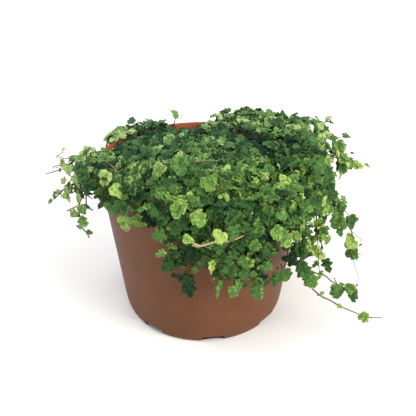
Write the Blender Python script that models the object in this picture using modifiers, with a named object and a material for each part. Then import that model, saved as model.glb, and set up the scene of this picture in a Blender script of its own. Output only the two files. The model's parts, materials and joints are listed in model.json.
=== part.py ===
"""Potted creeping fig: a plastic nursery pot, its potting mix and seven rooted plants.

Metres, +Z up. The pot stands on its flat base, whose middle is the origin. The front of the pot
looks along -Y. A bearing is an angle in degrees round the pot, 0 at the front and 90 at +X.
"""

import itertools
import math
import random

import bmesh
import bpy
from mathutils import Quaternion, Vector
from mathutils.bvhtree import BVHTree

# Pot
POT_HEIGHT = 0.118
RIM_RADIUS = 0.080
LIP_HEIGHT = 0.0032
COLLAR_FOOT = 0.0987
COLLAR_FOOT_RADIUS = 0.0765
BODY_TOP = 0.0965
BODY_TOP_RADIUS = 0.0730
BODY_FOOT = 0.0100
BODY_FOOT_RADIUS = 0.0626
BASE_RADIUS = 0.0568
WALL = 0.0018
FLOOR = 0.0022
TURN_STEPS = 40

# Drain notches in the bottom edge, each over a thin sill that ends short of the edge
NOTCHES = 8
NOTCH_BEARING = 7
NOTCH_WIDTH = 0.0165
NOTCH_HEIGHT = 0.0038
NOTCH_INNER_RADIUS = 0.050
SILL_HEIGHT = 0.0008
SILL_RADIUS = 0.0575

# Shading: edges sharper than this stay crisp
CRISP_EDGE = math.radians(32)

# Potting mix
GAP = 0.0003
SOIL_TOP = 0.0980
SOIL_TOP_RADIUS = BODY_TOP_RADIUS - WALL - 0.0004  # room for the slope of the wall
SOIL_FOOT = 0.0065
SOIL_FOOT_RADIUS = 0.0588
SOIL_STEPS = 32

# Rooted plants, as (bearing, distance from the axis): one in the middle and six round it
PLANT_PLACES = [
    (40, 0.005), (24, 0.045), (84, 0.049), (143, 0.046), (-155, 0.048), (-94, 0.045), (-36, 0.049),
]
CELL_GAP = 0.0004
ROOT_RADIUS = 0.0023
ROOT_LENGTH = 0.024
ROOT_SIDES = 8
ROOT_IN_TANGLE = 0.004

# Leaf carpet: how high the leaves stand over the rim, by bearing, and in the middle
LIFT_BY_BEARING = {
    -180: -0.002, -157: -0.007, -135: -0.008, -112: -0.005, -90: 0.000, -67: 0.001, -45: 0.002,
    0: 0.004, 45: 0.008, 90: 0.012, 135: 0.015, 157: 0.011, 180: -0.002,
}
MIDDLE_LIFT = 0.008
CARPET_RADIUS = 0.0735
CARPET_EDGE = 0.0035
CARPET_DEPTH = 0.0075
CARPET_LEAVES = 100
CARPET_LEAF = 0.0165
CARPET_SWING = 35
CARPET_SLOPES = (0.22, 0.50)
CARPET_INSET = 0.0025
EDGE_RADIUS = 0.052
EDGE_RISE = 0.30

# Tangle of creeping stems under the leaves
TANGLE_RADIUS = CARPET_RADIUS - 0.001
TANGLE_FOOT_RADIUS = SOIL_TOP_RADIUS - 0.0006
TANGLE_SIDES = 18
TANGLE_RINGS = (0.5, 1.0)
HUMP = 0.0010
CELL_FOOT = 0.05
CELL_TOP = 0.20

# Leaf blade: one half of its lobed outline, as (along, across) in blade lengths, and the place
# on the midrib where the stalk ends
HALF_OUTLINE = [(0.0, 0.0), (0.20, 0.40), (0.56, 0.55), (0.66, 0.27), (1.0, 0.0)]
MIDRIB_START = 0.20
BLADE_THICKNESS = 0.0007
BLADE_FOLD = 0.16
BLADE_CURL = 0.10
OVER_CORE = 0.0010
STALK_SUNK = 0.0007

BLADE_WAVE = 0.05

# Ways to bend a leaf that would cross something: further away from it, and round in degrees
BENDS = (0, 0.25, 0.5, 0.8, -0.25, 1.2, 1.7)
TURNS = (0, 25, -25, 50, -50, 80, -80, 120, -120, 160)
LEAF_GAP = 0.0002
STALK_SHARE = 0.22  # the part of a leaf, from its base, that may lie in its own stem

# Trailing stems
STEM_RADIUS = 0.0012
STEM_TAPER = 0.35
STEM_SIDES = 3
STEM_POINTS = 8
FINE_POINTS = 60
START_RADIUS = 0.056
START_DEPTH = 0.002
SHOULDER_RADIUS = 0.070
SHOULDER_RISE = 0.002
SHOULDER_OVER_RIM = 0.004
RIM_CLEARANCE = 0.0035
STEM_INSET = 0.002
FIRST_LEAF = 0.27
SECOND_LEAF = 0.44
TRAIL_LEAF = 0.0115
CLEARANCE = 0.0012

SEED = 11


def at(bearing, radius, height=0.0):
    """The point at a bearing, a distance from the pot's axis and a height."""
    angle = math.radians(bearing)
    return Vector((radius * math.sin(angle), -radius * math.cos(angle), height))


def bearing_of(point):
    return math.degrees(math.atan2(point.x, -point.y))


def read_curve(points, value):
    """Reads a line of (place, value) points, sorted by place, with straight runs between them."""
    if value <= points[0][0]:
        return points[0][1]
    for (low, first), (high, second) in zip(points, points[1:]):
        if value <= high:
            return first + (second - first) * (value - low) / (high - low)
    return points[-1][1]


def carpet_top(point):
    """Height of the leaf tips over a place in the plan."""
    radius = math.hypot(point.x, point.y)
    rim_lift = read_curve(sorted(LIFT_BY_BEARING.items()), bearing_of(point))
    outward = min(radius / CARPET_RADIUS, 1.0) ** 2
    return POT_HEIGHT + MIDDLE_LIFT * (1 - outward) + rim_lift * outward


def core_top(point):
    """Height of the tangle of stems under the leaves, in low humps."""
    hump = HUMP * math.sin(point.x / 0.009) * math.cos(point.y / 0.011)
    return carpet_top(point) - CARPET_DEPTH + hump


# Scene, collections and materials


def clear_scene():
    for leftover in list(bpy.data.objects):
        bpy.data.objects.remove(leftover)


def new_collection(name):
    collection = bpy.data.collections.new(name)
    bpy.context.scene.collection.children.link(collection)
    return collection


def plain_material(name, colour, roughness):
    material = bpy.data.materials.new(name)
    material.use_nodes = True
    shader = material.node_tree.nodes["Principled BSDF"]
    shader.inputs["Base Color"].default_value = (*colour, 1)
    shader.inputs["Roughness"].default_value = roughness
    shader.inputs["Metallic"].default_value = 0
    material.diffuse_color = (*colour, 1)
    return material


def mesh_object(name, points, faces, collection, edges=()):
    mesh = bpy.data.meshes.new(name)
    mesh.from_pydata([tuple(point) for point in points], edges, faces)
    made = bpy.data.objects.new(name, mesh)
    collection.objects.link(made)
    return made


def applied(target):
    """Replaces the object's mesh with its evaluated mesh and drops its modifiers."""
    graph = bpy.context.evaluated_depsgraph_get()
    mesh = bpy.data.meshes.new_from_object(target.evaluated_get(graph))
    target.modifiers.clear()
    target.data = mesh
    return target


def boolean(target, operation, cutter, solver="MANIFOLD"):
    """Adds a Boolean with an object or with a collection."""
    modifier = target.modifiers.new(operation.lower(), "BOOLEAN")
    modifier.operation = operation
    modifier.solver = solver
    if isinstance(cutter, bpy.types.Collection):
        modifier.operand_type = "COLLECTION"
        modifier.collection = cutter
    else:
        modifier.object = cutter
    return modifier


def smooth(target):
    """Shades the finished mesh smooth between its crisp edges."""
    applied(target)
    target.data.shade_smooth()
    target.data.set_sharp_from_angle(angle=CRISP_EDGE)


def turned(name, profile, steps, collection):
    """Turns a profile of (radius, height) points: a closed loop, or one that ends on the axis."""
    last = len(profile) - 1
    edges = [(index, index + 1) for index in range(last)]
    if profile[0][0] > 0:
        edges.append((last, 0))
    points = [(radius, 0, height) for radius, height in profile]
    made = mesh_object(name, points, [], collection, edges)
    screw = made.modifiers.new("turn", "SCREW")
    screw.steps = steps
    screw.render_steps = steps
    screw.use_merge_vertices = True
    screw.merge_threshold = 0.00005
    return made


def cylinder(name, radius, low, high, sides, place, collection):
    shape = bmesh.new()
    bmesh.ops.create_cone(
        shape, cap_ends=True, segments=sides, radius1=radius, radius2=radius, depth=high - low
    )
    bmesh.ops.translate(shape, verts=shape.verts, vec=(place.x, place.y, (low + high) / 2))
    made = mesh_object(name, [], [], collection)
    shape.to_mesh(made.data)
    shape.free()
    return made


def guide(made):
    """Marks a helper that takes no part in the finished object."""
    made.hide_render = True
    made.display_type = "WIRE"
    return made


# Pot and potting mix


def pot_profile():
    """The wall's section: down the outside, under the base, and up the inside."""
    collar_inside = COLLAR_FOOT_RADIUS - WALL
    body_inside = BODY_TOP_RADIUS - WALL
    return [
        (RIM_RADIUS - 0.0006, POT_HEIGHT),
        (RIM_RADIUS, POT_HEIGHT - 0.0007),
        (RIM_RADIUS, POT_HEIGHT - LIP_HEIGHT),
        (RIM_RADIUS - 0.0009, POT_HEIGHT - LIP_HEIGHT - 0.0006),
        (COLLAR_FOOT_RADIUS, COLLAR_FOOT),
        (COLLAR_FOOT_RADIUS - 0.0006, COLLAR_FOOT - 0.0008),
        (BODY_TOP_RADIUS, BODY_TOP),
        (BODY_FOOT_RADIUS, BODY_FOOT),
        (BODY_FOOT_RADIUS - 0.0017, BODY_FOOT * 0.42),
        (BASE_RADIUS + 0.0022, 0.0009),
        (BASE_RADIUS, 0),
        (0, 0),
        (0, FLOOR),
        (BASE_RADIUS - 0.0008, FLOOR),
        (BODY_FOOT_RADIUS - WALL - 0.0014, 0.0060),
        (body_inside, BODY_TOP + 0.0004),
        (collar_inside, COLLAR_FOOT + 0.0006),
        (RIM_RADIUS - WALL - 0.0002, POT_HEIGHT - 0.0004),
        (RIM_RADIUS - WALL + 0.0003, POT_HEIGHT),
    ]


def make_pot(parts, cutters):
    pot = turned("pot", pot_profile(), TURN_STEPS, parts)
    over_sill = ("over_sill", NOTCH_INNER_RADIUS, SILL_HEIGHT)
    past_sill = ("past_sill", SILL_RADIUS, -NOTCH_HEIGHT)
    for index, (label, inner, low) in itertools.product(range(NOTCHES), (over_sill, past_sill)):
        bearing = NOTCH_BEARING + index * 360 / NOTCHES
        depth = RIM_RADIUS - inner
        bpy.ops.mesh.primitive_cube_add(size=1)
        notch = bpy.context.object
        notch.name = f"notch_{index + 1}_{label}"
        notch.scale = (NOTCH_WIDTH, depth, NOTCH_HEIGHT - low)
        notch.location = at(bearing, inner + depth / 2, (NOTCH_HEIGHT + low) / 2)
        notch.rotation_euler.z = math.radians(bearing)
        notch.users_collection[0].objects.unlink(notch)
        cutters.objects.link(guide(notch))
    boolean(pot, "DIFFERENCE", cutters, "EXACT")
    smooth(pot)
    pot.data.materials.append(plain_material("brown_plastic", (0.21, 0.10, 0.06), 0.5))
    return pot


def make_potting_mix(sites, parts, cutters):
    profile = [
        (0, SOIL_TOP),
        (SOIL_TOP_RADIUS, SOIL_TOP),
        (SOIL_FOOT_RADIUS, SOIL_FOOT),
        (BASE_RADIUS - 0.0016, FLOOR + GAP),
        (0, FLOOR + GAP),
    ]
    mix = turned("potting_mix", profile, SOIL_STEPS, parts)
    hole_foot = SOIL_TOP - ROOT_LENGTH - GAP
    for index, site in enumerate(sites, start=1):
        hole = cylinder(
            f"hole_{index}", ROOT_RADIUS + GAP, hole_foot, SOIL_TOP + 0.002, ROOT_SIDES, site, cutters
        )
        guide(hole)
        boolean(mix, "DIFFERENCE", hole, "EXACT")
    smooth(mix)
    mix.data.materials.append(plain_material("dark_potting_mix", (0.035, 0.022, 0.014), 0.95))
    return mix


# Room for each plant


def plant_sites():
    return [at(bearing, radius) for bearing, radius in PLANT_PLACES]


def cell_walls(site, sites):
    """The upright planes halfway to each neighbour, as (point, outward direction)."""
    walls = []
    for other in sites:
        if other is not site:
            outward = (other - site).normalized()
            walls.append(((site + other) / 2 - outward * CELL_GAP / 2, outward))
    return walls


def inside_cell(point, walls):
    return all((point - middle).dot(outward) < 0 for middle, outward in walls)


def kept_in_cell(point, walls, margin):
    """The point, pushed back over any wall of the cell that it crosses."""
    for _ in range(3):
        for middle, outward in walls:
            past = (point - middle).dot(outward) + margin
            if past > 0:
                point = point - outward * past
    return point


def cell_outline(walls):
    """The cell in plan: a large square cut back at every wall."""
    reach = 0.25
    outline = [Vector((x * reach, y * reach, 0)) for x, y in [(-1, -1), (1, -1), (1, 1), (-1, 1)]]
    for middle, outward in walls:
        cut = []
        for first, second in zip(outline, outline[1:] + outline[:1]):
            side_first = (first - middle).dot(outward)
            side_second = (second - middle).dot(outward)
            if side_first <= 0:
                cut.append(first)
            if (side_first > 0) != (side_second > 0):
                share = side_first / (side_first - side_second)
                cut.append(first.lerp(second, share))
        outline = cut
    return outline


OUTER_WALL = [
    (0, BASE_RADIUS + 0.002),
    (BODY_FOOT, BODY_FOOT_RADIUS),
    (BODY_TOP, BODY_TOP_RADIUS),
    (COLLAR_FOOT - 0.001, COLLAR_FOOT_RADIUS),
    (POT_HEIGHT - LIP_HEIGHT - 0.0006, RIM_RADIUS),
    (POT_HEIGHT, RIM_RADIUS),
]
INNER_WALL = [
    (BODY_TOP, BODY_TOP_RADIUS - WALL),
    (COLLAR_FOOT + 0.0006, COLLAR_FOOT_RADIUS - WALL),
    (POT_HEIGHT, RIM_RADIUS - WALL - 0.0002),
]


def blocked(point):
    """True where a point lies in the pot's wall, in the potting mix or on the ground."""
    if point.z < CLEARANCE:
        return True
    if point.z > POT_HEIGHT + CLEARANCE:
        return False
    radius = math.hypot(point.x, point.y)
    if radius > read_curve(OUTER_WALL, point.z) + CLEARANCE:
        return False
    return radius > read_curve(INNER_WALL, point.z) - CLEARANCE or point.z < SOIL_TOP + CLEARANCE


# Leaves and stems


def over_core(point, tangle):
    """The point, lifted over the tangle that the leaves stand out of."""
    below = tangle.ray_cast(Vector((point.x, point.y, 1)), Vector((0, 0, -1)))[0]
    if below is None:
        return point
    return Vector((point.x, point.y, max(point.z, below.z + OVER_CORE)))


def blade_points(base, direction, facing, size, waves):
    """Points of one leaf: its outline round from the stalk, then the start of its midrib."""
    along = direction.normalized()
    up = (facing - along * facing.dot(along)).normalized()
    across = up.cross(along)
    points = []
    for side in (1, -1):
        half = HALF_OUTLINE if side > 0 else HALF_OUTLINE[-2:0:-1]
        for far, wide in half:
            curl = -BLADE_CURL * far * far - BLADE_FOLD * wide + (waves.pop() if wide else 0)
            points.append(base + size * (far * along + side * wide * across + curl * up))
    points.append(base + size * MIDRIB_START * along)
    return points, up


def blade_faces():
    """Triangles of one face of a blade: each runs from the midrib's start to the outline."""
    start = 2 * (len(HALF_OUTLINE) - 1)
    return [((index + 1) % start, index, start) for index in range(start)]


def blade_is_clear(points):
    """True where the blade keeps clear of the pot, the soil and the ground."""
    samples = points[1:]
    for face in blade_faces():
        if 0 not in face:
            corners = [points[index] for index in face]
            samples.append(sum(corners, Vector()) / 3)
            samples += [(a + b) / 2 for a, b in zip(corners, corners[1:] + corners[:1])]
    return not any(blocked(sample) for sample in samples)


def blade_solid(points, up, extra=0.0):
    """The blade as a thin closed solid, thicker by extra on both faces."""
    count = len(points)
    half = BLADE_THICKNESS / 2 + extra
    over = [point + up * half for point in points]
    under = [point - up * half for point in points]
    faces = list(blade_faces())
    faces += [tuple(count + index for index in reversed(face)) for face in blade_faces()]
    for index in range(count - 1):
        after = (index + 1) % (count - 1)
        faces += [(index, after, count + after), (index, count + after, count + index)]
    return over + under, faces


class Placed:
    """What stands round the pot so far, so that the next leaf can be bent clear of it."""

    def __init__(self):
        self.things = []

    def add(self, points, faces):
        self.things.append(self.measured(points, faces))
        return len(self.things) - 1

    def measured(self, points, faces):
        middle = sum(points, Vector()) / len(points)
        reach = max((point - middle).length for point in points)
        return middle, reach, BVHTree.FromPolygons(points, faces)

    def crossed_by(self, points, faces, own):
        """True where this solid crosses anything but its own stem and tangle."""
        middle, reach, tree = self.measured(points, faces)
        return any(
            index not in own and (place - middle).length < size + reach and tree.overlap(other)
            for index, (place, size, other) in enumerate(self.things)
        )


def add_blade(base, direction, facing, size, plant, draw, own=None):
    """Adds a leaf, bent clear of the pot and of the leaves that it would cross, or leaves it out."""
    outward = Vector((base.x, base.y, 0)).normalized()
    inside = math.hypot(base.x, base.y) < RIM_RADIUS - WALL
    away = Vector((0, 0, 1)) - 0.3 * outward if inside else outward + Vector((0, 0, 0.3))
    waves = [draw.uniform(-BLADE_WAVE, BLADE_WAVE) for _ in range(2 * len(HALF_OUTLINE))]
    for lift, turn in itertools.product(BENDS, TURNS):
        heading = direction.normalized() + away * lift
        heading.rotate(Quaternion(Vector((0, 0, 1)), math.radians(turn)))
        points, up = blade_points(base, heading, facing, size, list(waves))
        if inside:
            points = [points[0]] + [over_core(point, plant["tangle"]) for point in points[1:]]
        if not blade_is_clear(points):
            continue
        if plant["placed"].crossed_by(*blade_solid(points, up, LEAF_GAP), (own, plant["core_place"])):
            continue
        if own is not None:
            tip = points[len(HALF_OUTLINE) - 1]
            outer = [point.lerp(tip, STALK_SHARE) for point in points]
            if plant["placed"].crossed_by(*blade_solid(outer, up, LEAF_GAP), (plant["core_place"],)):
                continue
        points, faces = blade_solid(points, up)
        plant["placed"].add(points, faces)
        mesh_object("leaf", points, faces, plant["pieces"])
        plant["leaves"] += 1
        return


def smooth_route(guides, count):
    """Points on a smooth curve through the guides."""
    padded = [2 * guides[0] - guides[1], *guides, 2 * guides[-1] - guides[-2]]
    route = []
    spans = len(guides) - 1
    for step in range(count):
        place = spans * step / (count - 1)
        span = min(int(place), spans - 1)
        t = place - span
        a, b, c, d = padded[span : span + 4]
        route.append(
            b + 0.5 * t * (c - a + t * (2 * a - 5 * b + 4 * c - d + t * (3 * (b - c) + d - a)))
        )
    return route


def on_chords(route, count):
    """Points spread over the straight runs of a stem, where its leaves can be rooted."""
    points = []
    for step in range(count):
        place = (len(route) - 1) * step / (count - 1)
        span = min(int(place), len(route) - 2)
        points.append(route[span].lerp(route[span + 1], place - span))
    return points


def add_stem(route, plant):
    """Adds a faceted tube along the route, tapering to its tip and never twisting."""
    sideways = Vector((route[0].y, -route[0].x, 0))
    points = []
    for index, place in enumerate(route):
        before = route[max(index - 1, 0)]
        after = route[min(index + 1, len(route) - 1)]
        along = (after - before).normalized()
        side = (sideways - along * sideways.dot(along)).normalized()
        over = side.cross(along)
        width = STEM_RADIUS * (1 - STEM_TAPER * index / (len(route) - 1))
        for corner in range(STEM_SIDES):
            angle = 2 * math.pi * corner / STEM_SIDES
            points.append(place + width * (math.cos(angle) * side + math.sin(angle) * over))
    faces = []
    for ring in range(len(route) - 1):
        for corner in range(STEM_SIDES):
            low = ring * STEM_SIDES + corner
            next_low = ring * STEM_SIDES + (corner + 1) % STEM_SIDES
            faces.append((low, low + STEM_SIDES, next_low + STEM_SIDES, next_low))
    faces.append(tuple(range(STEM_SIDES)))
    faces.append(tuple(reversed(range(len(points) - STEM_SIDES, len(points)))))
    mesh_object("stem", points, faces, plant["pieces"])
    return plant["placed"].add(points, faces)


def trail_route(bearing, tip_bearing, lift, tip_radius, tip_height, bulge):
    """Route of a stem that leaves the carpet, crosses the rim and ends at its tip."""
    start = at(bearing, START_RADIUS)
    start.z = core_top(start) - START_DEPTH
    shoulder = at(bearing, SHOULDER_RADIUS)
    shoulder.z = max(core_top(shoulder) + SHOULDER_RISE, POT_HEIGHT + SHOULDER_OVER_RIM)
    over_rim = at(bearing, RIM_RADIUS + RIM_CLEARANCE, POT_HEIGHT + lift)
    tip = at(tip_bearing, tip_radius, tip_height)
    radius = (RIM_RADIUS + RIM_CLEARANCE + tip_radius) / 2 + bulge
    height = (over_rim.z + tip_height) / 2 + bulge
    middle = at((bearing + tip_bearing) / 2, radius, height)
    return smooth_route([start, shoulder, over_rim, middle, tip], STEM_POINTS + 1)


def add_trail(plant, row):
    """A trailing stem. Its leaves come later, when every stem is in place."""
    route = [kept_in_cell(point, plant["walls"], STEM_INSET) for point in trail_route(*row)]
    own = add_stem(route, plant)
    return on_chords(route, FINE_POINTS), own


def add_trail_leaves(plant, route, own, leaves, bare_tip, size):
    """Leaves on alternate sides of a trailing stem: one inside the rim, the others out to the tip."""
    draw = plant["draw"]
    last = FINE_POINTS - 1
    second = int(last * SECOND_LEAF)
    spots = [int(last * FIRST_LEAF)]
    for index in range(leaves):
        spots.append(int(second + (last - second) * (1 - bare_tip) * index / max(leaves - 1, 1)))
    for index, spot in enumerate(spots):
        along = (route[min(spot + 1, last)] - route[spot - 1]).normalized()
        outward = Vector((route[spot].x, route[spot].y, 0)).normalized()
        side = along.cross(Vector((0, 0, 1)) + 0.3 * outward).normalized()
        turn = (-1) ** index * draw.uniform(0.7, 1.1)
        at_tip = index == leaves and not bare_tip
        if at_tip:
            turn *= 0.25
        direction = along * draw.uniform(0.3, 0.6) + side * turn + outward * 0.25
        if at_tip:
            direction += along
        facing = Vector((0, 0, 1)) + outward * 0.9
        facing += 0.25 * Vector([draw.uniform(-1, 1) for _ in range(3)])
        length = size * draw.uniform(0.88, 1.12)
        add_blade(route[spot], direction, facing, length, plant, draw, own)


# One plant


def carpet_spots():
    """Leaf places spread evenly over the pot's mouth, in the order of a sunflower's seeds."""
    golden = 180 * (3 - math.sqrt(5))
    spots = []
    for index in range(CARPET_LEAVES):
        radius = (CARPET_RADIUS - CARPET_EDGE) * math.sqrt((index + 0.5) / CARPET_LEAVES)
        spots.append(at(index * golden, radius))
    return spots


def tangle_mesh():
    """The tangle of stems under all the leaves, as a low mound: its points and faces."""
    sides = TANGLE_SIDES
    rings = len(TANGLE_RINGS)
    foot = SOIL_TOP + GAP
    points = [Vector((0, 0, core_top(Vector())))]
    for ring in TANGLE_RINGS:
        for step in range(sides):
            place = at(step * 360 / sides, ring * TANGLE_RADIUS)
            place.z = core_top(place)
            points.append(place)
    points += [at(step * 360 / sides, TANGLE_FOOT_RADIUS, foot) for step in range(sides)]
    faces = [(0, 1 + step, 1 + (step + 1) % sides) for step in range(sides)]
    for ring in range(rings):
        for step in range(sides):
            low = 1 + ring * sides + step
            after = 1 + ring * sides + (step + 1) % sides
            faces.append((low, low + sides, after + sides, after))
    faces.append(tuple(reversed(range(1 + rings * sides, 1 + (rings + 1) * sides))))
    return points, faces


def make_core(plant, cutters):
    """The plant's own part of the tangle."""
    core = mesh_object(plant["name"], *tangle_mesh(), plant["parts"])
    outline = cell_outline(plant["walls"])
    count = len(outline)
    prism = [Vector((p.x, p.y, z)) for z in (CELL_FOOT, CELL_TOP) for p in outline]
    sides_of_prism = [(i, (i + 1) % count, count + (i + 1) % count, count + i) for i in range(count)]
    ends = [tuple(reversed(range(count))), tuple(range(count, 2 * count))]
    room = guide(mesh_object("room", prism, sides_of_prism + ends, cutters))
    boolean(core, "INTERSECT", room)
    return applied(core)


def largest_body(target):
    """Keeps the plant's one body and drops scraps and sealed hollows that fusing left."""
    shape = bmesh.new()
    shape.from_mesh(target.data)
    left = set(shape.verts)
    bodies = []
    while left:
        body = set()
        front = [left.pop()]
        while front:
            vert = front.pop()
            body.add(vert)
            near = {edge.other_vert(vert) for edge in vert.link_edges} & left
            left -= near
            front += near
        bodies.append(body)
    bodies.sort(key=len)
    scraps = [vert for body in bodies[:-1] for vert in body]
    bmesh.ops.delete(shape, geom=scraps, context="VERTS")
    shape.to_mesh(target.data)
    shape.free()
    return len(bodies) - 1


def start_plant(number, site, sites, placed, parts, cutters):
    """The plant's core and root."""
    plant = {
        "name": f"plant_{number}",
        "walls": cell_walls(site, sites),
        "pieces": new_collection(f"pieces_{number}"),
        "placed": placed,
        "tangle": BVHTree.FromPolygons(*tangle_mesh()),
        "parts": parts,
        "leaves": 0,
        "draw": random.Random(SEED + number),
    }
    plant["core"] = make_core(plant, cutters)
    mesh = plant["core"].data
    core_points = [vertex.co.copy() for vertex in mesh.vertices]
    core_faces = [tuple(polygon.vertices) for polygon in mesh.polygons]
    plant["core_place"] = placed.add(core_points, core_faces)
    low, high = SOIL_TOP - ROOT_LENGTH, SOIL_TOP + ROOT_IN_TANGLE
    cylinder("root", ROOT_RADIUS, low, high, ROOT_SIDES, site, plant["pieces"])
    return plant


def add_carpet(plant):
    """Leaves standing out of the plant's own part of the carpet."""
    draw = plant["draw"]
    for spot in carpet_spots():
        if not inside_cell(spot, plant["walls"]):
            continue
        base = kept_in_cell(spot, plant["walls"], CARPET_INSET)
        base.z = -1
        base.z = over_core(base, plant["tangle"]).z - OVER_CORE - STALK_SUNK
        heading = Vector((base.x, base.y, 0)).normalized()
        swing = draw.uniform(-CARPET_SWING, CARPET_SWING)
        heading.rotate(Quaternion(Vector((0, 0, 1)), math.radians(swing)))
        heading.z = draw.choice(CARPET_SLOPES) + draw.uniform(-0.06, 0.06)
        if math.hypot(base.x, base.y) > EDGE_RADIUS:
            heading.z += EDGE_RISE
        length = CARPET_LEAF * draw.uniform(0.9, 1.1)
        add_blade(base, heading, Vector((0, 0, 1)), length, plant, draw)


def fuse_plant(plant, number):
    """Joins the plant's core, root, stems and leaves in one body."""
    core = plant["core"]
    boolean(core, "UNION", plant["pieces"])
    applied(core)
    scraps = largest_body(core)
    for piece in list(plant["pieces"].objects):
        bpy.data.objects.remove(piece)
    bpy.data.collections.remove(plant["pieces"])
    core.data.materials.clear()
    core.data.materials.append(plain_material(f"leaf_green_{number}", (0.06, 0.19, 0.035), 0.5))
    print(plant["name"], "leaves", plant["leaves"], "faces", len(core.data.polygons), "scraps", scraps)


# Trailing stems: bearing at the rim, bearing at the tip, lift over the rim, tip radius,
# tip height and outward bulge, then how many leaves and the share of the stem bare at its end
SPRAYS = [
    # left side
    ((-84, -92, 0.006, 0.116, 0.107, 0.004), 6, 0),
    ((-78, -80, 0.004, 0.110, 0.095, 0.003), 6, 0),
    ((-71, -76, 0.003, 0.101, 0.088, 0.003), 5, 0),
    ((-63, -61, 0.003, 0.091, 0.080, 0.003), 5, 0),
    ((-95, -103, 0.004, 0.103, 0.108, 0.003), 5, 0),
    # back left and back, over the rim
    ((-121, -124, 0.003, 0.091, 0.119, 0.001), 3, 0),
    ((-152, -157, 0.003, 0.087, 0.116, 0.001), 3, 0),
    ((172, 177, 0.004, 0.092, 0.104, 0.002), 4, 0),
    ((154, 149, 0.009, 0.100, 0.110, 0.004), 5, 0),
    ((136, 139, 0.010, 0.105, 0.102, 0.005), 5, 0),
    # right side
    ((116, 117, 0.012, 0.113, 0.130, 0.002), 5, 0),
    ((103, 99, 0.009, 0.124, 0.107, 0.004), 6, 0),
    ((95, 92, 0.007, 0.110, 0.085, 0.007), 5, 0),
    ((86, 84, 0.006, 0.118, 0.062, 0.010), 6, 0),
    ((78, 81, 0.006, 0.104, 0.082, 0.005), 5, 0),
    ((70, 75, 0.006, 0.113, 0.045, 0.010), 7, 0),
    ((64, 61, 0.005, 0.112, 0.044, 0.003), 6, 0),
    ((55, 64, 0.004, 0.142, 0.022, -0.010), 7, 0.16),
]

# Drape over the front of the rim, where the leaves hang close together: lowest leaf by bearing
DRAPE_FOOT = [
    (-52, 0.100), (-36, 0.100), (-22, 0.092), (-12, 0.076), (8, 0.060), (26, 0.064), (48, 0.074),
]
DRAPE_STEP = 8.4
DRAPE_RADIUS = 0.083
DRAPE_LEAF = 0.0145
DRAPE_SPACING = 0.013


def drape_rows():
    """Stems that hang over the front of the rim, side by side, long and short by turns."""
    rows = []
    first, last = DRAPE_FOOT[0][0], DRAPE_FOOT[-1][0]
    for index in range(int((last - first) / DRAPE_STEP) + 1):
        bearing = first + index * DRAPE_STEP
        short = index % 2
        foot = read_curve(DRAPE_FOOT, bearing) + 0.010 * short
        leaves = 2 + round((POT_HEIGHT - foot) / DRAPE_SPACING)
        sway = 3 * math.sin(2.3 * index)
        row = (bearing, bearing + sway, 0.003 + 0.003 * short, DRAPE_RADIUS + 0.003 * short, foot, 0.004)
        rows.append((row, leaves, 0))
    return rows


def main():
    clear_scene()
    parts = new_collection("potted_creeping_fig")
    notch_cutters = new_collection("notch_cutters")
    cutters = new_collection("cutters")
    sites = plant_sites()
    make_pot(parts, notch_cutters)
    make_potting_mix(sites, parts, cutters)
    placed = Placed()
    plants = [
        start_plant(number, site, sites, placed, parts, cutters)
        for number, site in enumerate(sites, start=1)
    ]
    trails = []
    for rows, size in ((drape_rows(), DRAPE_LEAF), (SPRAYS, TRAIL_LEAF)):
        for row, leaves, bare_tip in rows:
            rim_place = at(row[0], RIM_RADIUS)
            plant = next(plant for plant in plants if inside_cell(rim_place, plant["walls"]))
            route, own = add_trail(plant, row)
            trails.append((plant, route, own, leaves, bare_tip, size))
    for trail in trails:
        add_trail_leaves(*trail)
    for plant in plants:
        add_carpet(plant)
    for number, plant in enumerate(plants, start=1):
        fuse_plant(plant, number)
    for helpers in (cutters, notch_cutters):
        helpers.hide_render = True


main()
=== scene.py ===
# %% [markdown]
# # A potted creeping fig
#
# This lesson dresses a small potted plant: a creeping fig that fills a round nursery pot and spills over
# its rim. The pot, the potting mix and seven rooted plants come from a packed CAD model, the frame. Here
# each of them gets a finer shape and a real finish, in the same place and at the same size.
#
# The frame is loaded first, because everything that follows is placed around it. Its box is kept, so that
# the dressed model can be compared with it at the end.

import json
import math
import random

import bpy
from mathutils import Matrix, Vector
from mathutils.geometry import delaunay_2d_cdt

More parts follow.
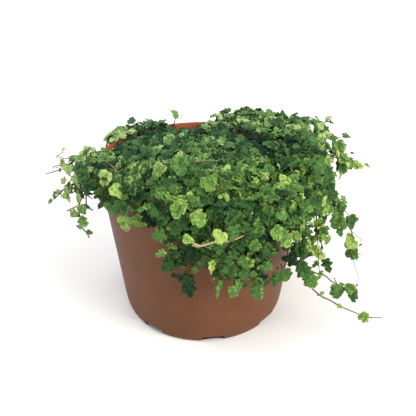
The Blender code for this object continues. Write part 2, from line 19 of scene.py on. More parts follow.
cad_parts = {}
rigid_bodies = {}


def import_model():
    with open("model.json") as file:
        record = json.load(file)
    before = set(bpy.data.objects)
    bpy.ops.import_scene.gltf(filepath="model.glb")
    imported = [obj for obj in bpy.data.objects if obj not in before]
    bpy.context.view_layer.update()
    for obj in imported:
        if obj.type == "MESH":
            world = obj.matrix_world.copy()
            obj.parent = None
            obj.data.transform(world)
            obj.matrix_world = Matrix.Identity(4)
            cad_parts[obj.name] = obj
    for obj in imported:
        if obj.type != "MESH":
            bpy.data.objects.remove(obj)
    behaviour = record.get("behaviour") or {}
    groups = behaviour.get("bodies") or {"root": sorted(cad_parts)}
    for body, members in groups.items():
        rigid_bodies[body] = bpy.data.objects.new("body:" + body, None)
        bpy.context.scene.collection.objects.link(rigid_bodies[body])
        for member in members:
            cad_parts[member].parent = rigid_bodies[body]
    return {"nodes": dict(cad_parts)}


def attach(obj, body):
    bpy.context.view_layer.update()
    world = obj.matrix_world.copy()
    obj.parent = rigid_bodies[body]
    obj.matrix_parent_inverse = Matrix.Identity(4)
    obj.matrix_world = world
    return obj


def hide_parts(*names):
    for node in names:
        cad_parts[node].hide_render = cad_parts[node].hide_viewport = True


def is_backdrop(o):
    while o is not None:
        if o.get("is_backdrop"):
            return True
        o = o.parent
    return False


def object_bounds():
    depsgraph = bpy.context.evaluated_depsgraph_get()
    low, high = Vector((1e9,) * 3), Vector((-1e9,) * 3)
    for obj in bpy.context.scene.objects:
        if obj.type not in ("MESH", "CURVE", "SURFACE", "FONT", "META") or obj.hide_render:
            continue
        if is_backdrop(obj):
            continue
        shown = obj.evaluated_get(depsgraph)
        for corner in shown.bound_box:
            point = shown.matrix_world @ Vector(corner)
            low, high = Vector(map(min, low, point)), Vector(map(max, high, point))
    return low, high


for leftover in list(bpy.data.objects):
    bpy.data.objects.remove(leftover)
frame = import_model()
scene = bpy.context.scene
cad_box = [list(corner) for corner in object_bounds()]
print("nodes in the frame:", sorted(frame["nodes"]))

# %% [markdown]
# ## The camera
#
# The photograph looks down on the pot from the front, by a little under thirty degrees. The numbers come
# from fitting the ellipse of the rim and the outline of the foot. The picture is square, so the lens
# follows from how many pixels one unit of slope covers: 600 in a picture of 416.

# %% Camera
CAMERA_PLACE = (0.0036, -0.398, 0.304)
CAMERA_DOWN = 29.46
PICTURE_SIDE = 416
PIXELS_PER_SLOPE = 600
SENSOR_WIDTH = 36

camera_data = bpy.data.cameras.new("photo_view")
camera_data.sensor_width = SENSOR_WIDTH
camera_data.lens = SENSOR_WIDTH * PIXELS_PER_SLOPE / PICTURE_SIDE
camera = bpy.data.objects.new("photo_view", camera_data)
camera.location = CAMERA_PLACE
camera.rotation_euler = (math.radians(90 - CAMERA_DOWN), 0, 0)
scene.collection.objects.link(camera)
scene.camera = camera
print("lens, mm:", round(camera_data.lens, 1))

# %% [markdown]
# ## Places round the pot
#
# Everything on this object is arranged round the pot's axis, so places are easiest to give as a bearing
# in degrees, 0 at the front and 90 on the right, a distance from the axis and a height. Another helper
# reads a value between the points of a short list, which is how the height of the leaf mat and the length
# of the drape are given round the pot. The last one runs a smooth curve through a few points, for stems.

# %% Helpers for places
def at(bearing, radius, height=0.0):
    """The place at a bearing, a distance from the axis and a height."""
    angle = math.radians(bearing)
    return Vector((radius * math.sin(angle), -radius * math.cos(angle), height))


def bearing_of(point):
    return math.degrees(math.atan2(point.x, -point.y))


def read_curve(points, value):
    """The height of a line through the points, read at a value."""
    if value <= points[0][0]:
        return points[0][1]
    for (low, first), (high, second) in zip(points, points[1:]):
        if value <= high:
            return first + (second - first) * (value - low) / (high - low)
    return points[-1][1]


def smooth_route(guides, count):
    """Points on a smooth curve that passes through every guide."""
    padded = [2 * guides[0] - guides[1], *guides, 2 * guides[-1] - guides[-2]]
    route = []
    spans = len(guides) - 1
    for step in range(count):
        place = spans * step / (count - 1)
        span = min(int(place), spans - 1)
        t = place - span
        a, b, c, d = padded[span : span + 4]
        bend = t * (2 * a - 5 * b + 4 * c - d + t * (3 * (b - c) + d - a))
        route.append(b + 0.5 * t * (c - a + bend))
    return route


print("a place on the right of the rim:", at(90, 0.08, 0.118))

# %% [markdown]
# ## Finishes from nodes
#
# Every finish is a small tree of shader nodes. A few helpers keep the trees readable: one starts a
# material, one adds a node and fills its sockets, and others do sums, ramps, mixes and noise. A socket
# gets either a plain value or the output of another node.

# %% Helpers for nodes
class Nodes:
    """A tree of nodes, and short ways to add to it."""

    def __init__(self, tree):
        self.tree = tree

    def fill(self, socket, value):
        if isinstance(value, bpy.types.NodeSocket):
            self.tree.links.new(value, socket)
        else:
            socket.default_value = value

    def node(self, kind, settings=(), **inputs):
        """Adds a node, and fills the sockets that are named by their identifiers."""
        made = self.tree.nodes.new(kind)
        for key, value in dict(settings).items():
            setattr(made, key, value)
        sockets = {socket.identifier.replace(" ", "_"): socket for socket in made.inputs}
        for key, value in inputs.items():
            self.fill(sockets[key], value)
        return made

    def sum(self, operation, *values):
        made = self.node("ShaderNodeMath", {"operation": operation})
        for socket, value in zip(made.inputs, values):
            self.fill(socket, value)
        return made.outputs[0]

    def vector(self, operation, *values, **inputs):
        made = self.node("ShaderNodeVectorMath", {"operation": operation}, **inputs)
        for socket, value in zip(made.inputs, values):
            self.fill(socket, value)
        return made.outputs[0]


class Finish(Nodes):
    """A material and the nodes that feed its main shader."""

    def __init__(self, name, roughness=0.5, gloss=0.5):
        self.material = bpy.data.materials.new(name)
        self.material.use_nodes = True
        super().__init__(self.material.node_tree)
        self.shader = self.tree.nodes["Principled BSDF"]
        self.put("Roughness", roughness)
        self.put("Specular IOR Level", gloss)

    def put(self, socket, value):
        """Puts a value, or the output of a node, into a socket of the main shader."""
        self.fill(self.shader.inputs[socket], value)

    def ramp(self, value, stops):
        made = self.node("ShaderNodeValToRGB", Fac=value)
        bands = made.color_ramp.elements
        while len(bands) < len(stops):
            bands.new(0.5)
        for band, (place, colour) in zip(bands, stops):
            band.position = place
            band.color = (*colour, 1)
        return made.outputs["Color"]

    def mix(self, share, first, second, blend="MIX"):
        made = self.tree.nodes.new("ShaderNodeMix")
        made.data_type = "RGBA"
        made.blend_type = blend
        self.fill(made.inputs[0], share)
        for socket, value in ((made.inputs[6], first), (made.inputs[7], second)):
            self.fill(socket, (*value, 1) if isinstance(value, tuple) else value)
        return made.outputs[2]

    def noise(self, scale, detail, stretch=None):
        place = self.tree.nodes.new("ShaderNodeTexCoord").outputs["Object"]
        if stretch:
            place = self.node("ShaderNodeMapping", Vector=place, Scale=stretch).outputs[0]
        made = self.node("ShaderNodeTexNoise", Vector=place, Scale=scale, Detail=detail)
        return made.outputs["Fac"]

    def attribute(self, name):
        return self.node("ShaderNodeAttribute", {"attribute_name": name}).outputs["Fac"]

    def bump(self, height, distance, strength):
        made = self.node("ShaderNodeBump", Height=height, Distance=distance, Strength=strength)
        self.put("Normal", made.outputs["Normal"])


def srgb(red, green, blue):
    """A colour as a screen shows it, turned into the light values that shaders use."""
    return tuple(
        value / 255 / 12.92 if value <= 10 else ((value / 255 + 0.055) / 1.055) ** 2.4
        for value in (red, green, blue)
    )


print("mid grey as light:", [round(value, 3) for value in srgb(128, 128, 128)])

# %% [markdown]
# ## Floor and light
#
# The pot was photographed on a white surface in soft light, so that the background is pure white and only
# faint shadows lie on both sides of the foot. A bright even sky does most of the work. Two lamps are added
# as far away as the sun, because a near one would light the floor unevenly: a weak neutral one high on the
# left, and a wide warm one from the right, which gives the leaves and the pot their shape.

# %% Floor and light
FLOOR_HALF = 6
PAPER_WHITE = (0.77, 0.77, 0.77, 1)
SKY_WHITE = (1, 1, 1, 1)
SKY_STRENGTH = 1.2

scene.view_settings.view_transform = "Standard"

floor_mesh = bpy.data.meshes.new("floor")
floor_corners = [(FLOOR_HALF * x, FLOOR_HALF * y, 0) for x, y in ((-1, -1), (1, -1), (1, 1), (-1, 1))]
floor_mesh.from_pydata(floor_corners, [], [(0, 1, 2, 3)])
floor = bpy.data.objects.new("floor", floor_mesh)
scene.collection.objects.link(floor)
paper = Finish("white_paper", 0.9, gloss=0.1)
paper.put("Base Color", PAPER_WHITE)
floor_mesh.materials.append(paper.material)
floor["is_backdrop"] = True

sky = bpy.data.worlds.new("soft_studio")
sky.use_nodes = True
background = sky.node_tree.nodes["Background"]
background.inputs["Color"].default_value = SKY_WHITE
background.inputs["Strength"].default_value = SKY_STRENGTH
scene.world = sky


def soft_sun(name, towards, width, strength, colour):
    """A lamp far away in one direction, as wide in the sky as the angle in degrees."""
    data = bpy.data.lights.new(name, "SUN")
    data.angle = math.radians(width)
    data.energy = strength
    data.color = colour
    made = bpy.data.objects.new(name, data)
    made.rotation_euler = Vector(towards).to_track_quat("Z", "Y").to_euler()
    scene.collection.objects.link(made)
    climb = math.degrees(math.asin(Vector(towards).normalized().z))
    print(name, "stands", round(climb), "degrees over the floor")


soft_sun("window", (-0.34, -0.20, 1.0), 16, 0.85, (1.0, 1.0, 0.99))
soft_sun("warm_fill", (0.85, -0.50, 0.58), 34, 3.3, (1.0, 0.93, 0.83))

# %% [markdown]
# ## The pot
#
# A nursery pot is one thin shell of brown plastic: a lip round the rim, a short collar, a tapered body and
# a rounded foot with notches that let water out over a thin sill. A shell like this is turned from its
# section. The corners of the section are rounded first, because moulded plastic has no sharp edges, and
# rounded ones catch the light.

# %% Section of the pot
POT_HEIGHT = 0.118
RIM_RADIUS = 0.080
LIP_HEIGHT = 0.0032
COLLAR_FOOT = 0.0987
COLLAR_RADIUS = 0.0765
BODY_TOP = 0.0965
BODY_RADIUS = 0.0730
BODY_FOOT = 0.0100
FOOT_RADIUS = 0.0630
BASE_RADIUS = 0.0586
WALL = 0.0018
FLOOR = 0.0022
MOST_OF_EDGE = 0.45

# Each corner: distance from the axis, height, and how far the rounding reaches
POT_SECTION = [
    (0, FLOOR, 0),
    (BASE_RADIUS - 0.0008, FLOOR, 0.0015),
    (FOOT_RADIUS - WALL - 0.0014, 0.0060, 0.0020),
    (BODY_RADIUS - WALL, BODY_TOP + 0.0004, 0.0006),
    (COLLAR_RADIUS - WALL, COLLAR_FOOT + 0.0006, 0.0006),
    (RIM_RADIUS - WALL - 0.0002, POT_HEIGHT - 0.0004, 0.0004),
    (RIM_RADIUS - WALL + 0.0003, POT_HEIGHT, 0.0003),
    (RIM_RADIUS - 0.0003, POT_HEIGHT, 0.0005),
    (RIM_RADIUS, POT_HEIGHT - 0.0006, 0.0004),
    (RIM_RADIUS, POT_HEIGHT - LIP_HEIGHT, 0.0004),
    (RIM_RADIUS - 0.0009, POT_HEIGHT - LIP_HEIGHT - 0.0006, 0.0004),
    (COLLAR_RADIUS, COLLAR_FOOT, 0.0006),
    (COLLAR_RADIUS - 0.0006, COLLAR_FOOT - 0.0008, 0.0004),
    (BODY_RADIUS, BODY_TOP, 0.0010),
    (FOOT_RADIUS, BODY_FOOT, 0.0060),
    (FOOT_RADIUS - 0.0011, BODY_FOOT * 0.42, 0.0030),
    (BASE_RADIUS + 0.0014, 0.0004, 0.0008),
    (BASE_RADIUS, 0, 0.0004),
    (0, 0, 0),
]


def rounded(corners):
    """The section with each corner replaced by a short arc that uses less than half of each edge."""
    points = []
    for index, (radius, height, reach) in enumerate(corners):
        corner = Vector((radius, height))
        if not reach:
            points.append(corner)
            continue
        before = Vector(corners[index - 1][:2]) - corner
        after = Vector(corners[index + 1][:2]) - corner
        start = corner + before.normalized() * min(reach, before.length * MOST_OF_EDGE)
        end = corner + after.normalized() * min(reach, after.length * MOST_OF_EDGE)
        points += [start, (start + 2 * corner + end) / 4, end]
    return points


pot_section = rounded(POT_SECTION)
print("points in the section:", len(pot_section))

# %% [markdown]
# Turning the section makes rings of faces. The two ends of the section lie on the axis, so each becomes one
# point with a fan round it, and the shell is closed. The eight notches are cut with a Boolean modifier and
# two blocks for each: one cuts a slot over the sill, and the other goes right down outside the sill.

# %% Turn the pot and cut its notches
TURN_STEPS = 144
NOTCHES = 8
NOTCH_BEARING = 7
NOTCH_WIDTH = 0.0165
NOTCH_HEIGHT = 0.0050
NOTCH_INNER_RADIUS = 0.050
SILL_HEIGHT = 0.0008
SILL_RADIUS = 0.0575
CRISP_EDGE = 38


def new_object(name, points, faces):
    mesh = bpy.data.meshes.new(name)
    mesh.from_pydata([tuple(point) for point in points], [], faces)
    made = bpy.data.objects.new(name, mesh)
    scene.collection.objects.link(made)
    return made


def turned(name, section, steps):
    """A closed solid from a section that starts and ends on the axis and runs up its inner side."""
    inner = section[1:-1]
    points = [Vector((0, 0, section[0].y)), Vector((0, 0, section[-1].y))]
    for step in range(steps):
        points += [at(step * 360 / steps, place.x, place.y) for place in inner]
    faces = []
    for step in range(steps):
        here = 2 + step * len(inner)
        there = 2 + (step + 1) % steps * len(inner)
        faces.append((0, here, there))
        for ring in range(len(inner) - 1):
            faces.append((here + ring, here + ring + 1, there + ring + 1, there + ring))
        faces.append((1, there + len(inner) - 1, here + len(inner) - 1))
    return new_object(name, points, faces)


def finished(made):
    """Replaces the object's mesh with its evaluated one, and drops its modifiers."""
    graph = bpy.context.evaluated_depsgraph_get()
    mesh = bpy.data.meshes.new_from_object(made.evaluated_get(graph))
    made.modifiers.clear()
    made.data = mesh
    return made


pot = turned("nursery_pot", pot_section, TURN_STEPS)
notch_tools = bpy.data.collections.new("notch_tools")
scene.collection.children.link(notch_tools)
for index in range(NOTCHES):
    bearing = NOTCH_BEARING + index * 360 / NOTCHES
    across = at(bearing + 90, NOTCH_WIDTH / 2)
    for inner, low in ((NOTCH_INNER_RADIUS, SILL_HEIGHT), (SILL_RADIUS, -NOTCH_HEIGHT)):
        corners = [
            at(bearing, radius, height) + side * across
            for height in (low, NOTCH_HEIGHT) for radius in (inner, RIM_RADIUS) for side in (-1, 1)
        ]
        faces = [(0, 1, 3, 2), (4, 6, 7, 5), (0, 4, 5, 1), (2, 3, 7, 6), (0, 2, 6, 4), (1, 5, 7, 3)]
        tool = new_object("notch_tool", corners, faces)
        scene.collection.objects.unlink(tool)
        notch_tools.objects.link(tool)
cut = pot.modifiers.new("notches", "BOOLEAN")
cut.operand_type = "COLLECTION"
cut.collection = notch_tools
cut.solver = "EXACT"
finished(pot)
for tool in list(notch_tools.objects):
    bpy.data.objects.remove(tool)
bpy.data.collections.remove(notch_tools)
pot.data.shade_smooth()
pot.data.set_sharp_from_angle(angle=math.radians(CRISP_EDGE))
print("faces of the pot:", len(pot.data.polygons))

# %% [markdown]
# The plastic is a reddish brown with a soft sheen. Its colour varies in wide uneven patches, a faint grey
# bloom from watering runs down the wall in streaks, and a very fine grain breaks up the sheen. The inside
# of the wall is painted a lighter orange, as painted light that soaks into the thin shell there, and the
# faces in the notches are painted almost black, as painted shade, because hardly any light gets in. Both get
# a version of the finish of their own, and the piece then takes the place of the plain pot from the frame.

# %% Plastic of the pot
PLASTIC_GLOSS = 0.12
PATCH_SCALE = 38
STREAK_SCALE = 60
STREAK_STRETCH = (1.0, 1.0, 0.06)
GRAIN_SCALE = 2600
GRAIN_DEPTH = 0.00006
SMOOTHEST = 0.42
ROUGHER_IN_PATCHES = 0.16
BLOOM_GREY = srgb(112, 90, 76)
BLACK, WHITE = (0, 0, 0), (1, 1, 1)


def plastic(name, deep, light, bloom):
    """A plastic between a deep and a light colour, with some share of grey bloom."""
    finish = Finish(name, gloss=PLASTIC_GLOSS)
    patches = finish.noise(PATCH_SCALE, 4)
    streaks = finish.noise(STREAK_SCALE, 5, stretch=STREAK_STRETCH)
    colour = finish.mix(finish.ramp(patches, [(0.35, BLACK), (0.72, WHITE)]), deep, light)
    colour = finish.mix(finish.sum("MULTIPLY", streaks, bloom), colour, BLOOM_GREY)
    finish.put("Base Color", colour)
    finish.put("Roughness", finish.sum("MULTIPLY_ADD", patches, ROUGHER_IN_PATCHES, SMOOTHEST))
    finish.bump(finish.noise(GRAIN_SCALE, 2), GRAIN_DEPTH, 0.5)
    return finish.material


outside = plastic("brown_pot_plastic", srgb(89, 54, 33), srgb(100, 62, 40), 0.10)
# The inside of the wall: a lighter orange, painted light for the light that soaks through the thin shell.
inside = plastic("orange_pot_inside", srgb(140, 76, 48), srgb(152, 86, 56), 0.08)
# The faces in the notches: near black, painted shade for the little light that gets in there.
notch_painted_shade = plastic("shaded_notch_plastic", srgb(24, 14, 9), srgb(30, 18, 12), 0.02)
for finish in (outside, inside, notch_painted_shade):
    pot.data.materials.append(finish)
print("finishes of the pot:", [finish.name for finish in pot.data.materials])

# %% Give each face its plastic
MARGIN = 0.0001
OUTSIDE, PAINTED_LIGHT_INSIDE, PAINTED_SHADE_IN_NOTCH = range(3)


def in_notch(place):
    """Whether a place is in one of the notches, or on its walls."""
    half_turn = 180 / NOTCHES
    turn = (bearing_of(place) - NOTCH_BEARING + half_turn) % (2 * half_turn) - half_turn
    flat = math.hypot(place.x, place.y)
    beside = abs(flat * math.sin(math.radians(turn)))
    between = beside < NOTCH_WIDTH / 2 + MARGIN and flat > NOTCH_INNER_RADIUS
    return between and place.z < NOTCH_HEIGHT + MARGIN


for face in pot.data.polygons:
    middle = face.center
    inward = face.normal.x * middle.x + face.normal.y * middle.y < 0
    # Faces in the notches get the plastic with painted shade, and the inner wall the plastic with painted
    # light.
    if in_notch(middle):
        face.material_index = PAINTED_SHADE_IN_NOTCH
    elif inward and middle.z > NOTCH_HEIGHT:
        face.material_index = PAINTED_LIGHT_INSIDE
    else:
        face.material_index = OUTSIDE
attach(pot, "root")
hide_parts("pot")
print("faces in the notches:", sum(face.material_index == PAINTED_SHADE_IN_NOTCH for face in pot.data.polygons))

# %% [markdown]
# ## The potting mix
#
# Peat, bark and a little grit fill the pot to a finger's width below the rim. Most of it is hidden, so
# a turned body with an uneven top is enough. Crumbs are scattered over that top with Geometry Nodes: points
# on its faces, a small rough stone on each point, turned and sized at random.

# %% Body of the potting mix
SOIL_TOP = 0.0980
SOIL_TOP_RADIUS = BODY_RADIUS - WALL - 0.0004
SOIL_FOOT = 0.0065
SOIL_FOOT_RADIUS = 0.0588
SOIL_BASE_RADIUS = BASE_RADIUS - 0.0016
SOIL_RINGS = 14
SOIL_STEPS = 64
GAP = 0.0003
HUMP_HEIGHT = 0.0008
HUMPS_PER_METRE = (310, 270)
SETTLED = 0.0009
EDGE = 0.001
CRUMBLY_EDGE = 50

soil_section = [Vector((SOIL_TOP_RADIUS * ring / SOIL_RINGS, SOIL_TOP)) for ring in range(SOIL_RINGS + 1)]
soil_section += [
    Vector((SOIL_FOOT_RADIUS, SOIL_FOOT)),
    Vector((SOIL_BASE_RADIUS, FLOOR + GAP)),
    Vector((0, FLOOR + GAP)),
]
soil = turned("potting_mix_body", soil_section, SOIL_STEPS)
soil.data.flip_normals()
for vertex in soil.data.vertices:
    place = vertex.co
    if place.z > SOIL_TOP - EDGE and math.hypot(place.x, place.y) < SOIL_TOP_RADIUS - EDGE:
        wave = math.sin(place.x * HUMPS_PER_METRE[0]) * math.cos(place.y * HUMPS_PER_METRE[1])
        place.z += HUMP_HEIGHT * wave - SETTLED
soil.data.shade_smooth()
soil.data.set_sharp_from_angle(angle=math.radians(CRUMBLY_EDGE))
print("faces of the potting mix:", len(soil.data.polygons))

# %% [markdown]
# ### Crumbs on top
#
# A Geometry Nodes tree is a recipe: geometry goes in at one end, and each node does one thing to it. The
# helper below starts a recipe, gives it named inputs and adds nodes. A modifier's inputs are filled by
# their identifiers, and the result is turned into a plain mesh at once, because the exported model keeps
# no instances.

# %% Helpers for Geometry Nodes
class Recipe(Nodes):
    """A Geometry Nodes tree with named inputs."""

    def __init__(self, name):
        super().__init__(bpy.data.node_groups.new(name, "GeometryNodeTree"))
        self.places = {}
        self.tree.interface.new_socket("Result", in_out="OUTPUT", socket_type="NodeSocketGeometry")
        self.start = self.tree.nodes.new("NodeGroupInput")
        self.end = self.tree.nodes.new("NodeGroupOutput")

    def takes(self, name, kind):
        """Adds a named input and gives back the socket that it comes out of."""
        socket = self.tree.interface.new_socket(name, in_out="INPUT", socket_type="NodeSocket" + kind)
        self.places[name] = socket.identifier
        return self.start.outputs[name]

    def random(self, low, high, seed, kind="FLOAT"):
        """A random number, whole number or vector for each point."""
        tail, output = {"FLOAT": ("_001", 1), "INT": ("_002", 2), "FLOAT_VECTOR": ("", 0)}[kind]
        ends = {"Min" + tail: low, "Max" + tail: high}
        return self.node("FunctionNodeRandomValue", {"data_type": kind}, Seed=seed, **ends).outputs[output]

    def named(self, name, kind="FLOAT"):
        made = self.node("GeometryNodeInputNamedAttribute", {"data_type": kind}, Name=name)
        return made.outputs["Attribute"]

    def joined(self, *geometries):
        made = self.tree.nodes.new("GeometryNodeJoinGeometry")
        for geometry in geometries:
            self.tree.links.new(geometry, made.inputs[0])
        return made.outputs[0]

    def gives(self, geometry):
        self.tree.links.new(geometry, self.end.inputs[0])

    def used_on(self, made, **values):
        """Runs the recipe on an object and keeps the result as a plain mesh."""
        modifier = made.modifiers.new(self.tree.name, "NODES")
        modifier.node_group = self.tree
        for name, value in values.items():
            modifier[self.places[name]] = value
        return finished(made)


print("what a recipe can do:", [name for name in vars(Recipe) if not name.startswith("_")])

# %% Scatter the crumbs
CRUMBS_TO_DEPTH = 0.003
WHOLE_TURN = 6.28
THINNEST_CRUMB = (0.5, 0.4, 0.3)
FULLEST_CRUMB = (1.6, 1.2, 0.9)

crumbs = Recipe("scatter_crumbs")
ground = crumbs.takes("ground", "Geometry")
count = crumbs.takes("crumbs_per_square_metre", "Float")
size = crumbs.takes("crumb_radius", "Float")
seed = crumbs.takes("seed", "Int")
finish_of_crumbs = crumbs.takes("finish", "Material")
position = crumbs.node("GeometryNodeInputPosition").outputs[0]
height = crumbs.node("ShaderNodeSeparateXYZ", Vector=position).outputs["Z"]
on_top = crumbs.sum("GREATER_THAN", height, SOIL_TOP - CRUMBS_TO_DEPTH)
spread = crumbs.node(
    "GeometryNodeDistributePointsOnFaces", Mesh=ground, Selection=on_top, Density=count, Seed=seed
)
stone = crumbs.node("GeometryNodeMeshIcoSphere", Radius=size, Subdivisions=1)
turn = crumbs.random((0, 0, 0), (WHOLE_TURN, WHOLE_TURN, WHOLE_TURN), 1, "FLOAT_VECTOR")
stretch = crumbs.random(THINNEST_CRUMB, FULLEST_CRUMB, 2, "FLOAT_VECTOR")
placed = crumbs.node(
    "GeometryNodeInstanceOnPoints",
    Points=spread.outputs["Points"],
    Instance=stone.outputs["Mesh"],
    Rotation=crumbs.node("FunctionNodeEulerToRotation", Euler=turn).outputs[0],
    Scale=stretch,
)
solid = crumbs.node("GeometryNodeRealizeInstances", Geometry=placed.outputs[0]).outputs[0]
together = crumbs.joined(ground, solid)
crumbs.gives(crumbs.node("GeometryNodeSetMaterial", Geometry=together, Material=finish_of_crumbs).outputs[0])
print("nodes in the recipe:", len(crumbs.tree.nodes))

# %% Dress the potting mix
peat = Finish("moist_peat", 0.92)
specks = peat.noise(520, 4)
peat_colours = [(0.3, srgb(16, 14, 10)), (0.55, srgb(32, 27, 18)), (0.75, srgb(60, 52, 38))]
peat.put("Base Color", peat.ramp(specks, peat_colours))
peat.bump(specks, 0.0006, 0.6)
crumbs.used_on(soil, crumbs_per_square_metre=24000.0, crumb_radius=0.0013, seed=4, finish=peat.material)
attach(soil, "root")
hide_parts("potting_mix")
print("faces of the potting mix with its crumbs:", len(soil.data.polygons))

# %% [markdown]
# ## One leaf
#
# The leaves of this fig are a little under a centimetre long and look like small ivy leaves, with three to
# seven rounded lobes. A leaf is drawn once from half of its outline, and mirrored with a little unevenness.
# The blade is puckered between its veins. Both faces meet at the outline, so it is a closed lens about a
# third of a millimetre thick, and a thin stalk lifts it over its stem. Fifty faces have to do, since
# thousands of copies are coming.
#
# Three attributes go with it. `edge` runs from 0 on the midrib to 1 on the outline and colours pale margins,
# `under` marks the lower face, and `stalk` marks the stalk. A UV map runs from the stalk to the tip.

# %% Outlines of the leaf
# Half outlines from base to tip, as (across, along), where the blade is one unit long
LEAF_FORMS = {
    "five_lobes": [
        (0, 0), (0.25, -0.12), (0.44, 0.04), (0.35, 0.18), (0.54, 0.36), (0.46, 0.51), (0.3, 0.56),
        (0.24, 0.8), (0, 0.98),
    ],
    "broad": [
        (0, 0), (0.27, -0.1), (0.47, 0.07), (0.41, 0.21), (0.56, 0.4), (0.48, 0.57), (0.36, 0.62),
        (0.29, 0.84), (0, 0.95),
    ],
    "three_lobes": [
        (0, 0), (0.21, -0.05), (0.36, 0.09), (0.37, 0.24), (0.56, 0.47), (0.43, 0.58), (0.24, 0.6),
        (0.19, 0.85), (0, 1),
    ],
    "oak_like": [
        (0, 0), (0.2, -0.11), (0.37, 0.03), (0.25, 0.17), (0.46, 0.31), (0.38, 0.45), (0.19, 0.51),
        (0.29, 0.76), (0, 1.05),
    ],
    "young": [
        (0, 0), (0.22, -0.06), (0.39, 0.08), (0.46, 0.26), (0.41, 0.44), (0.29, 0.52), (0.3, 0.7),
        (0.16, 0.9), (0, 0.98),
    ],
}
print("outlines:", list(LEAF_FORMS))

# %% Blade of the leaf
STALK_REACH = 0.24
STALK_RISE = 0.24
HALF_THICK = 0.018
MIDRIB = [(0.0, 0.30), (0.0, 0.68)]
PUCKERS = [(0.23, 0.09), (0.28, 0.38), (-0.23, 0.09), (-0.28, 0.38)]
PUCKER_RISE = 0.11
UNDER_PLACE = (0, 0.36)
FOLD = (-0.15, 0.50)
DROOP = (0.05, 0.55)
RUFFLE = (0.04, 0.09)
CURL = 0.2
UNEVEN_WIDTH = (0.93, 1.07)
UNEVEN_SIDES = 0.02
TOUCHING = 1e-6


def draw_blade(half, draw):
    """Points and faces of a blade: the outline, the places inside it, and one place for the under face."""
    fold = draw.uniform(*FOLD)
    droop = draw.uniform(*DROOP)
    ruffle = draw.uniform(*RUFFLE)
    right = [(across * draw.uniform(*UNEVEN_WIDTH), along) for across, along in half]
    left = [
        (-across * draw.uniform(*UNEVEN_WIDTH), along + draw.uniform(-UNEVEN_SIDES, UNEVEN_SIDES))
        for across, along in half[-2:0:-1]
    ]
    outline = [Vector(place) for place in right + left]
    inside = [Vector(place) for place in MIDRIB + PUCKERS]
    borders = [(index, (index + 1) % len(outline)) for index in range(len(outline))]

    def lifted(place, extra, puckered=False):
        height = fold * abs(place.x) - droop * place.y**2 - CURL * place.x**2 + PUCKER_RISE * puckered
        return Vector((place.x, STALK_REACH + place.y, STALK_RISE + (height + extra)))

    points = [lifted(place, ruffle * (-1) ** index) for index, place in enumerate(outline)]
    points += [lifted(place, HALF_THICK, place.x != 0) for place in inside]
    points.append(lifted(Vector(UNDER_PLACE), -HALF_THICK))
    meshed = delaunay_2d_cdt(outline + inside, borders, [], 1, TOUCHING)
    upper = [tuple(meshed[3][corner][0] for corner in face) for face in meshed[2]]
    lower = [(second, first, len(points) - 1) for first, second in borders]
    return points, upper + lower


blade_points, blade_faces = draw_blade(LEAF_FORMS["young"], random.Random(0))
print("points and faces of a blade:", len(blade_points), len(blade_faces))

# %% Stalk of the leaf
STALK_RADIUS = 0.034
STALK_UNDER_BLADE = 0.05
STALK_SIDES = 3
STALK_RINGS = 3


def draw_stalk(first):
    """Points and faces of a stalk that rises from the stem to the blade, where first is its first point."""
    points, faces = [], []
    for ring in range(STALK_RINGS):
        share = ring / (STALK_RINGS - 1)
        height = STALK_RISE * math.sin(share * math.pi / 2) - HALF_THICK
        place = Vector((0, (STALK_REACH + STALK_UNDER_BLADE) * share, height))
        for corner in range(STALK_SIDES):
            angle = 2 * math.pi * corner / STALK_SIDES
            points.append(place + STALK_RADIUS * Vector((math.cos(angle), 0, math.sin(angle))))
    last = first + STALK_SIDES * (STALK_RINGS - 1)
    for low in range(first, last, STALK_SIDES):
        high = low + STALK_SIDES
        for corner in range(STALK_SIDES):
            after = (corner + 1) % STALK_SIDES
            faces.append((low + corner, high + corner, high + after, low + after))
    faces.append(tuple(first + corner for corner in range(STALK_SIDES)))
    faces.append(tuple(last + corner for corner in reversed(range(STALK_SIDES))))
    return points, faces


print("points and faces of a stalk:", [len(part) for part in draw_stalk(0)])

# %% Draw the forms of the leaf
SHARP_FOLD = 50
PUCKER_EDGE = 0.45
MAP_WIDTH = 1.2
MAP_LENGTH = 1.26
MAP_START = 0.12


def draw_leaf(name, half, draw):
    """Draws one leaf with its attributes and its map."""
    blade, faces = draw_blade(half, draw)
    stalk, stalk_faces = draw_stalk(len(blade))
    points = blade + stalk
    mesh = bpy.data.meshes.new(name)
    mesh.from_pydata([tuple(point) for point in points], [], faces + stalk_faces)
    mesh.shade_smooth()
    mesh.set_sharp_from_angle(angle=math.radians(SHARP_FOLD))
    outer = len(blade) - len(MIDRIB) - len(PUCKERS) - 1
    edge = [1.0] * outer + [0.0] * len(MIDRIB) + [PUCKER_EDGE] * len(PUCKERS) + [0.0] * (1 + len(stalk))
    for label, values in (
        ("edge", edge),
        ("under", [float(index == len(blade) - 1) for index in range(len(points))]),
        ("stalk", [float(index >= len(blade)) for index in range(len(points))]),
    ):
        mesh.attributes.new(label, "FLOAT", "POINT").data.foreach_set("value", values)
    flat = mesh.uv_layers.new(name="leaf_map")
    for corner in mesh.loops:
        place = points[corner.vertex_index]
        across = 0.5 + place.x / MAP_WIDTH
        flat.data[corner.index].uv = (across, (place.y - STALK_REACH + MAP_START) / MAP_LENGTH)
    return bpy.data.objects.new(name, mesh)


leaf_forms = bpy.data.collections.new("leaf_forms")
leaf_draw = random.Random(5)
for name, half in LEAF_FORMS.items():
    for version in (1, 2):
        leaf_forms.objects.link(draw_leaf(f"{name}_{version}", half, leaf_draw))
